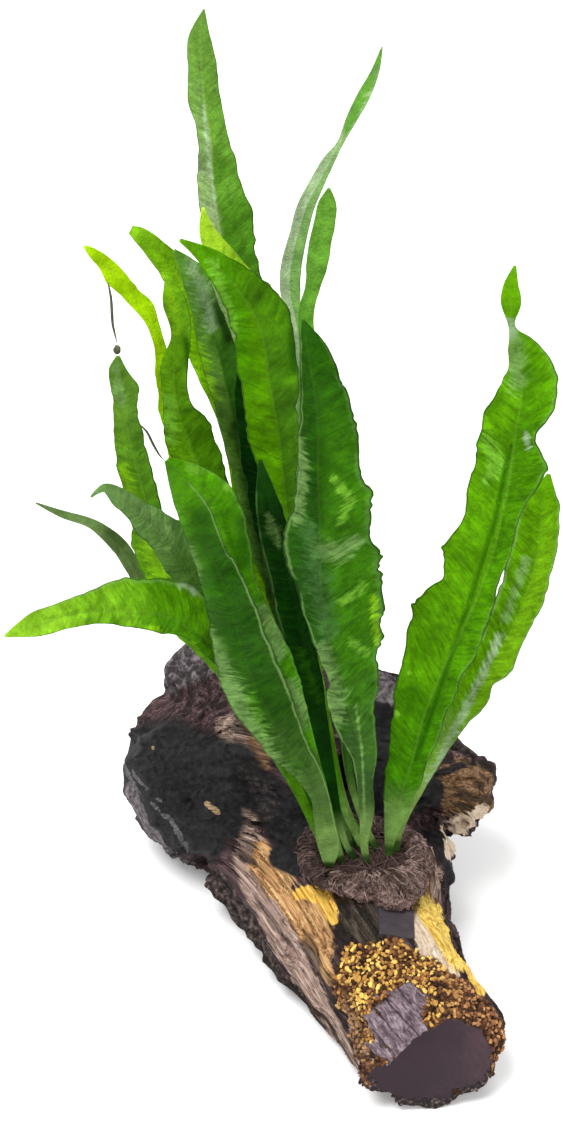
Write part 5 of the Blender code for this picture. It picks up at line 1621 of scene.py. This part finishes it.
SLOTS = {
    "leaf_bright_green": ("broad_bright", "big_right", "low_left", "behind_front", "two_tone"),
    "leaf_yellow_green": ("yellow_tip", "ragged_yellow", "right_behind"),
}
for name, blade in blades.items():
    blade.data.materials.append(leaf_finish(f"green_{name}", LOOKS[name], TOUCHES.get(name, ())))
    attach(blade, "root")
    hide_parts(f"leaf_{name}")
    next((slot for slot, names in SLOTS.items() if name in names), "leaf_deep_green")
print("leaf materials:", len(blades))

# %% [markdown]
# ## Dead threads and a dead bead
# Three leaf tips have died back to brown threads, one with a dark knob at its end. They are rods
# of the kind that the root mat uses, and a small ball.

# %% Threads
# Radius in mm, mm behind the foot of the plant, and the places in the photograph
THREADS = (
    (0.42, 2.0, ((108, 283), (111, 297), (112, 312), (113, 326), (116, 338), (117, 346))),
    (0.38, -3.0, ((139, 424), (147, 432), (153, 444), (160, 456), (166, 462))),
    (0.32, 46.0, ((297, 347), (292, 354), (287, 362), (283, 371))),
)
BEAD_PLACE = (117, 350, 0.5)
BEAD_RADII = (1.0, 1.0, 1.3)
threads = []
for radius, back, pixels in THREADS:
    line = np.array([seen_at(across, down, back) for across, down in pixels])
    threads.append(thin_root(line, radius))
dead_threads = joined_copies("dead_threads", threads, rod_faces)
bpy.ops.object.select_all(action="DESELECT")
bpy.ops.mesh.primitive_ico_sphere_add(subdivisions=3, radius=1)
bead = name_new("dead_bead")
ball = points_of(bead) * MM
dented = 1 + wander(ball * 3, 1.2, 77) * 0.12
move_points(bead, seen_at(*BEAD_PLACE) + ball * BEAD_RADII * dented[:, None])
bead.data.shade_smooth()
dead = Finish("dead_leaf", Roughness=0.7)
dry = dead.noise(dead.place(), 0.8, 3.0)
colour = dead.ramp(dry, (0.35, (0.03, 0.035, 0.015)), (0.65, (0.08, 0.085, 0.03)))
dead.wear(colour, 0.7, dry, relief=0.4, depth_mm=0.2)
for piece in (dead_threads, bead):
    piece.data.materials.append(dead.material)
    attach(piece, "root")
print("threads:", triangles(dead_threads), "bead:", triangles(bead), "triangles")

# %% [markdown]
# ## A pale floor and soft light
# The photograph was taken on white, in light that comes from everywhere and a little more from
# above. A dim white world keeps the greens deep, and large soft lamps do the rest.

# %% Floor, world and lamps
bpy.ops.object.select_all(action="DESELECT")
bpy.ops.mesh.primitive_plane_add(size=12)
floor = name_new("floor")
white = Finish("white_floor", Roughness=0.9, Specular_IOR_Level=0.0, Base_Color=(0.9, 0.9, 0.9, 1),
               Emission_Color=(1, 1, 1, 1), Emission_Strength=0.15)
floor.data.materials.append(white.material)

world = bpy.data.worlds.new("studio")
bpy.context.scene.world = world
world.use_nodes = True
glow = world.node_tree.nodes["Background"].inputs
glow["Color"].default_value = (1, 1, 1, 1)
glow["Strength"].default_value = 0.54


LAMPS_AIM = Vector((0, 0, 0.12))


def lamp(name, place, size, power):
    data = bpy.data.lights.new(name, "AREA")
    data.size = size
    data.energy = power
    item = bpy.data.objects.new(name, data)
    item.location = place
    aim = LAMPS_AIM - Vector(place)
    item.rotation_euler = aim.to_track_quat("-Z", "Y").to_euler()
    bpy.context.scene.collection.objects.link(item)


lamp("key", (-0.5, -0.25, 1.6), 0.8, 31)
lamp("fill", (0.9, -1.1, 1.0), 1.0, 7)
lamp("rear", (0.3, 1.2, 1.1), 1.0, 9)
bpy.context.scene.view_settings.view_transform = "Standard"
print("lamps:", [item.name for item in bpy.context.scene.objects if item.type == "LIGHT"])
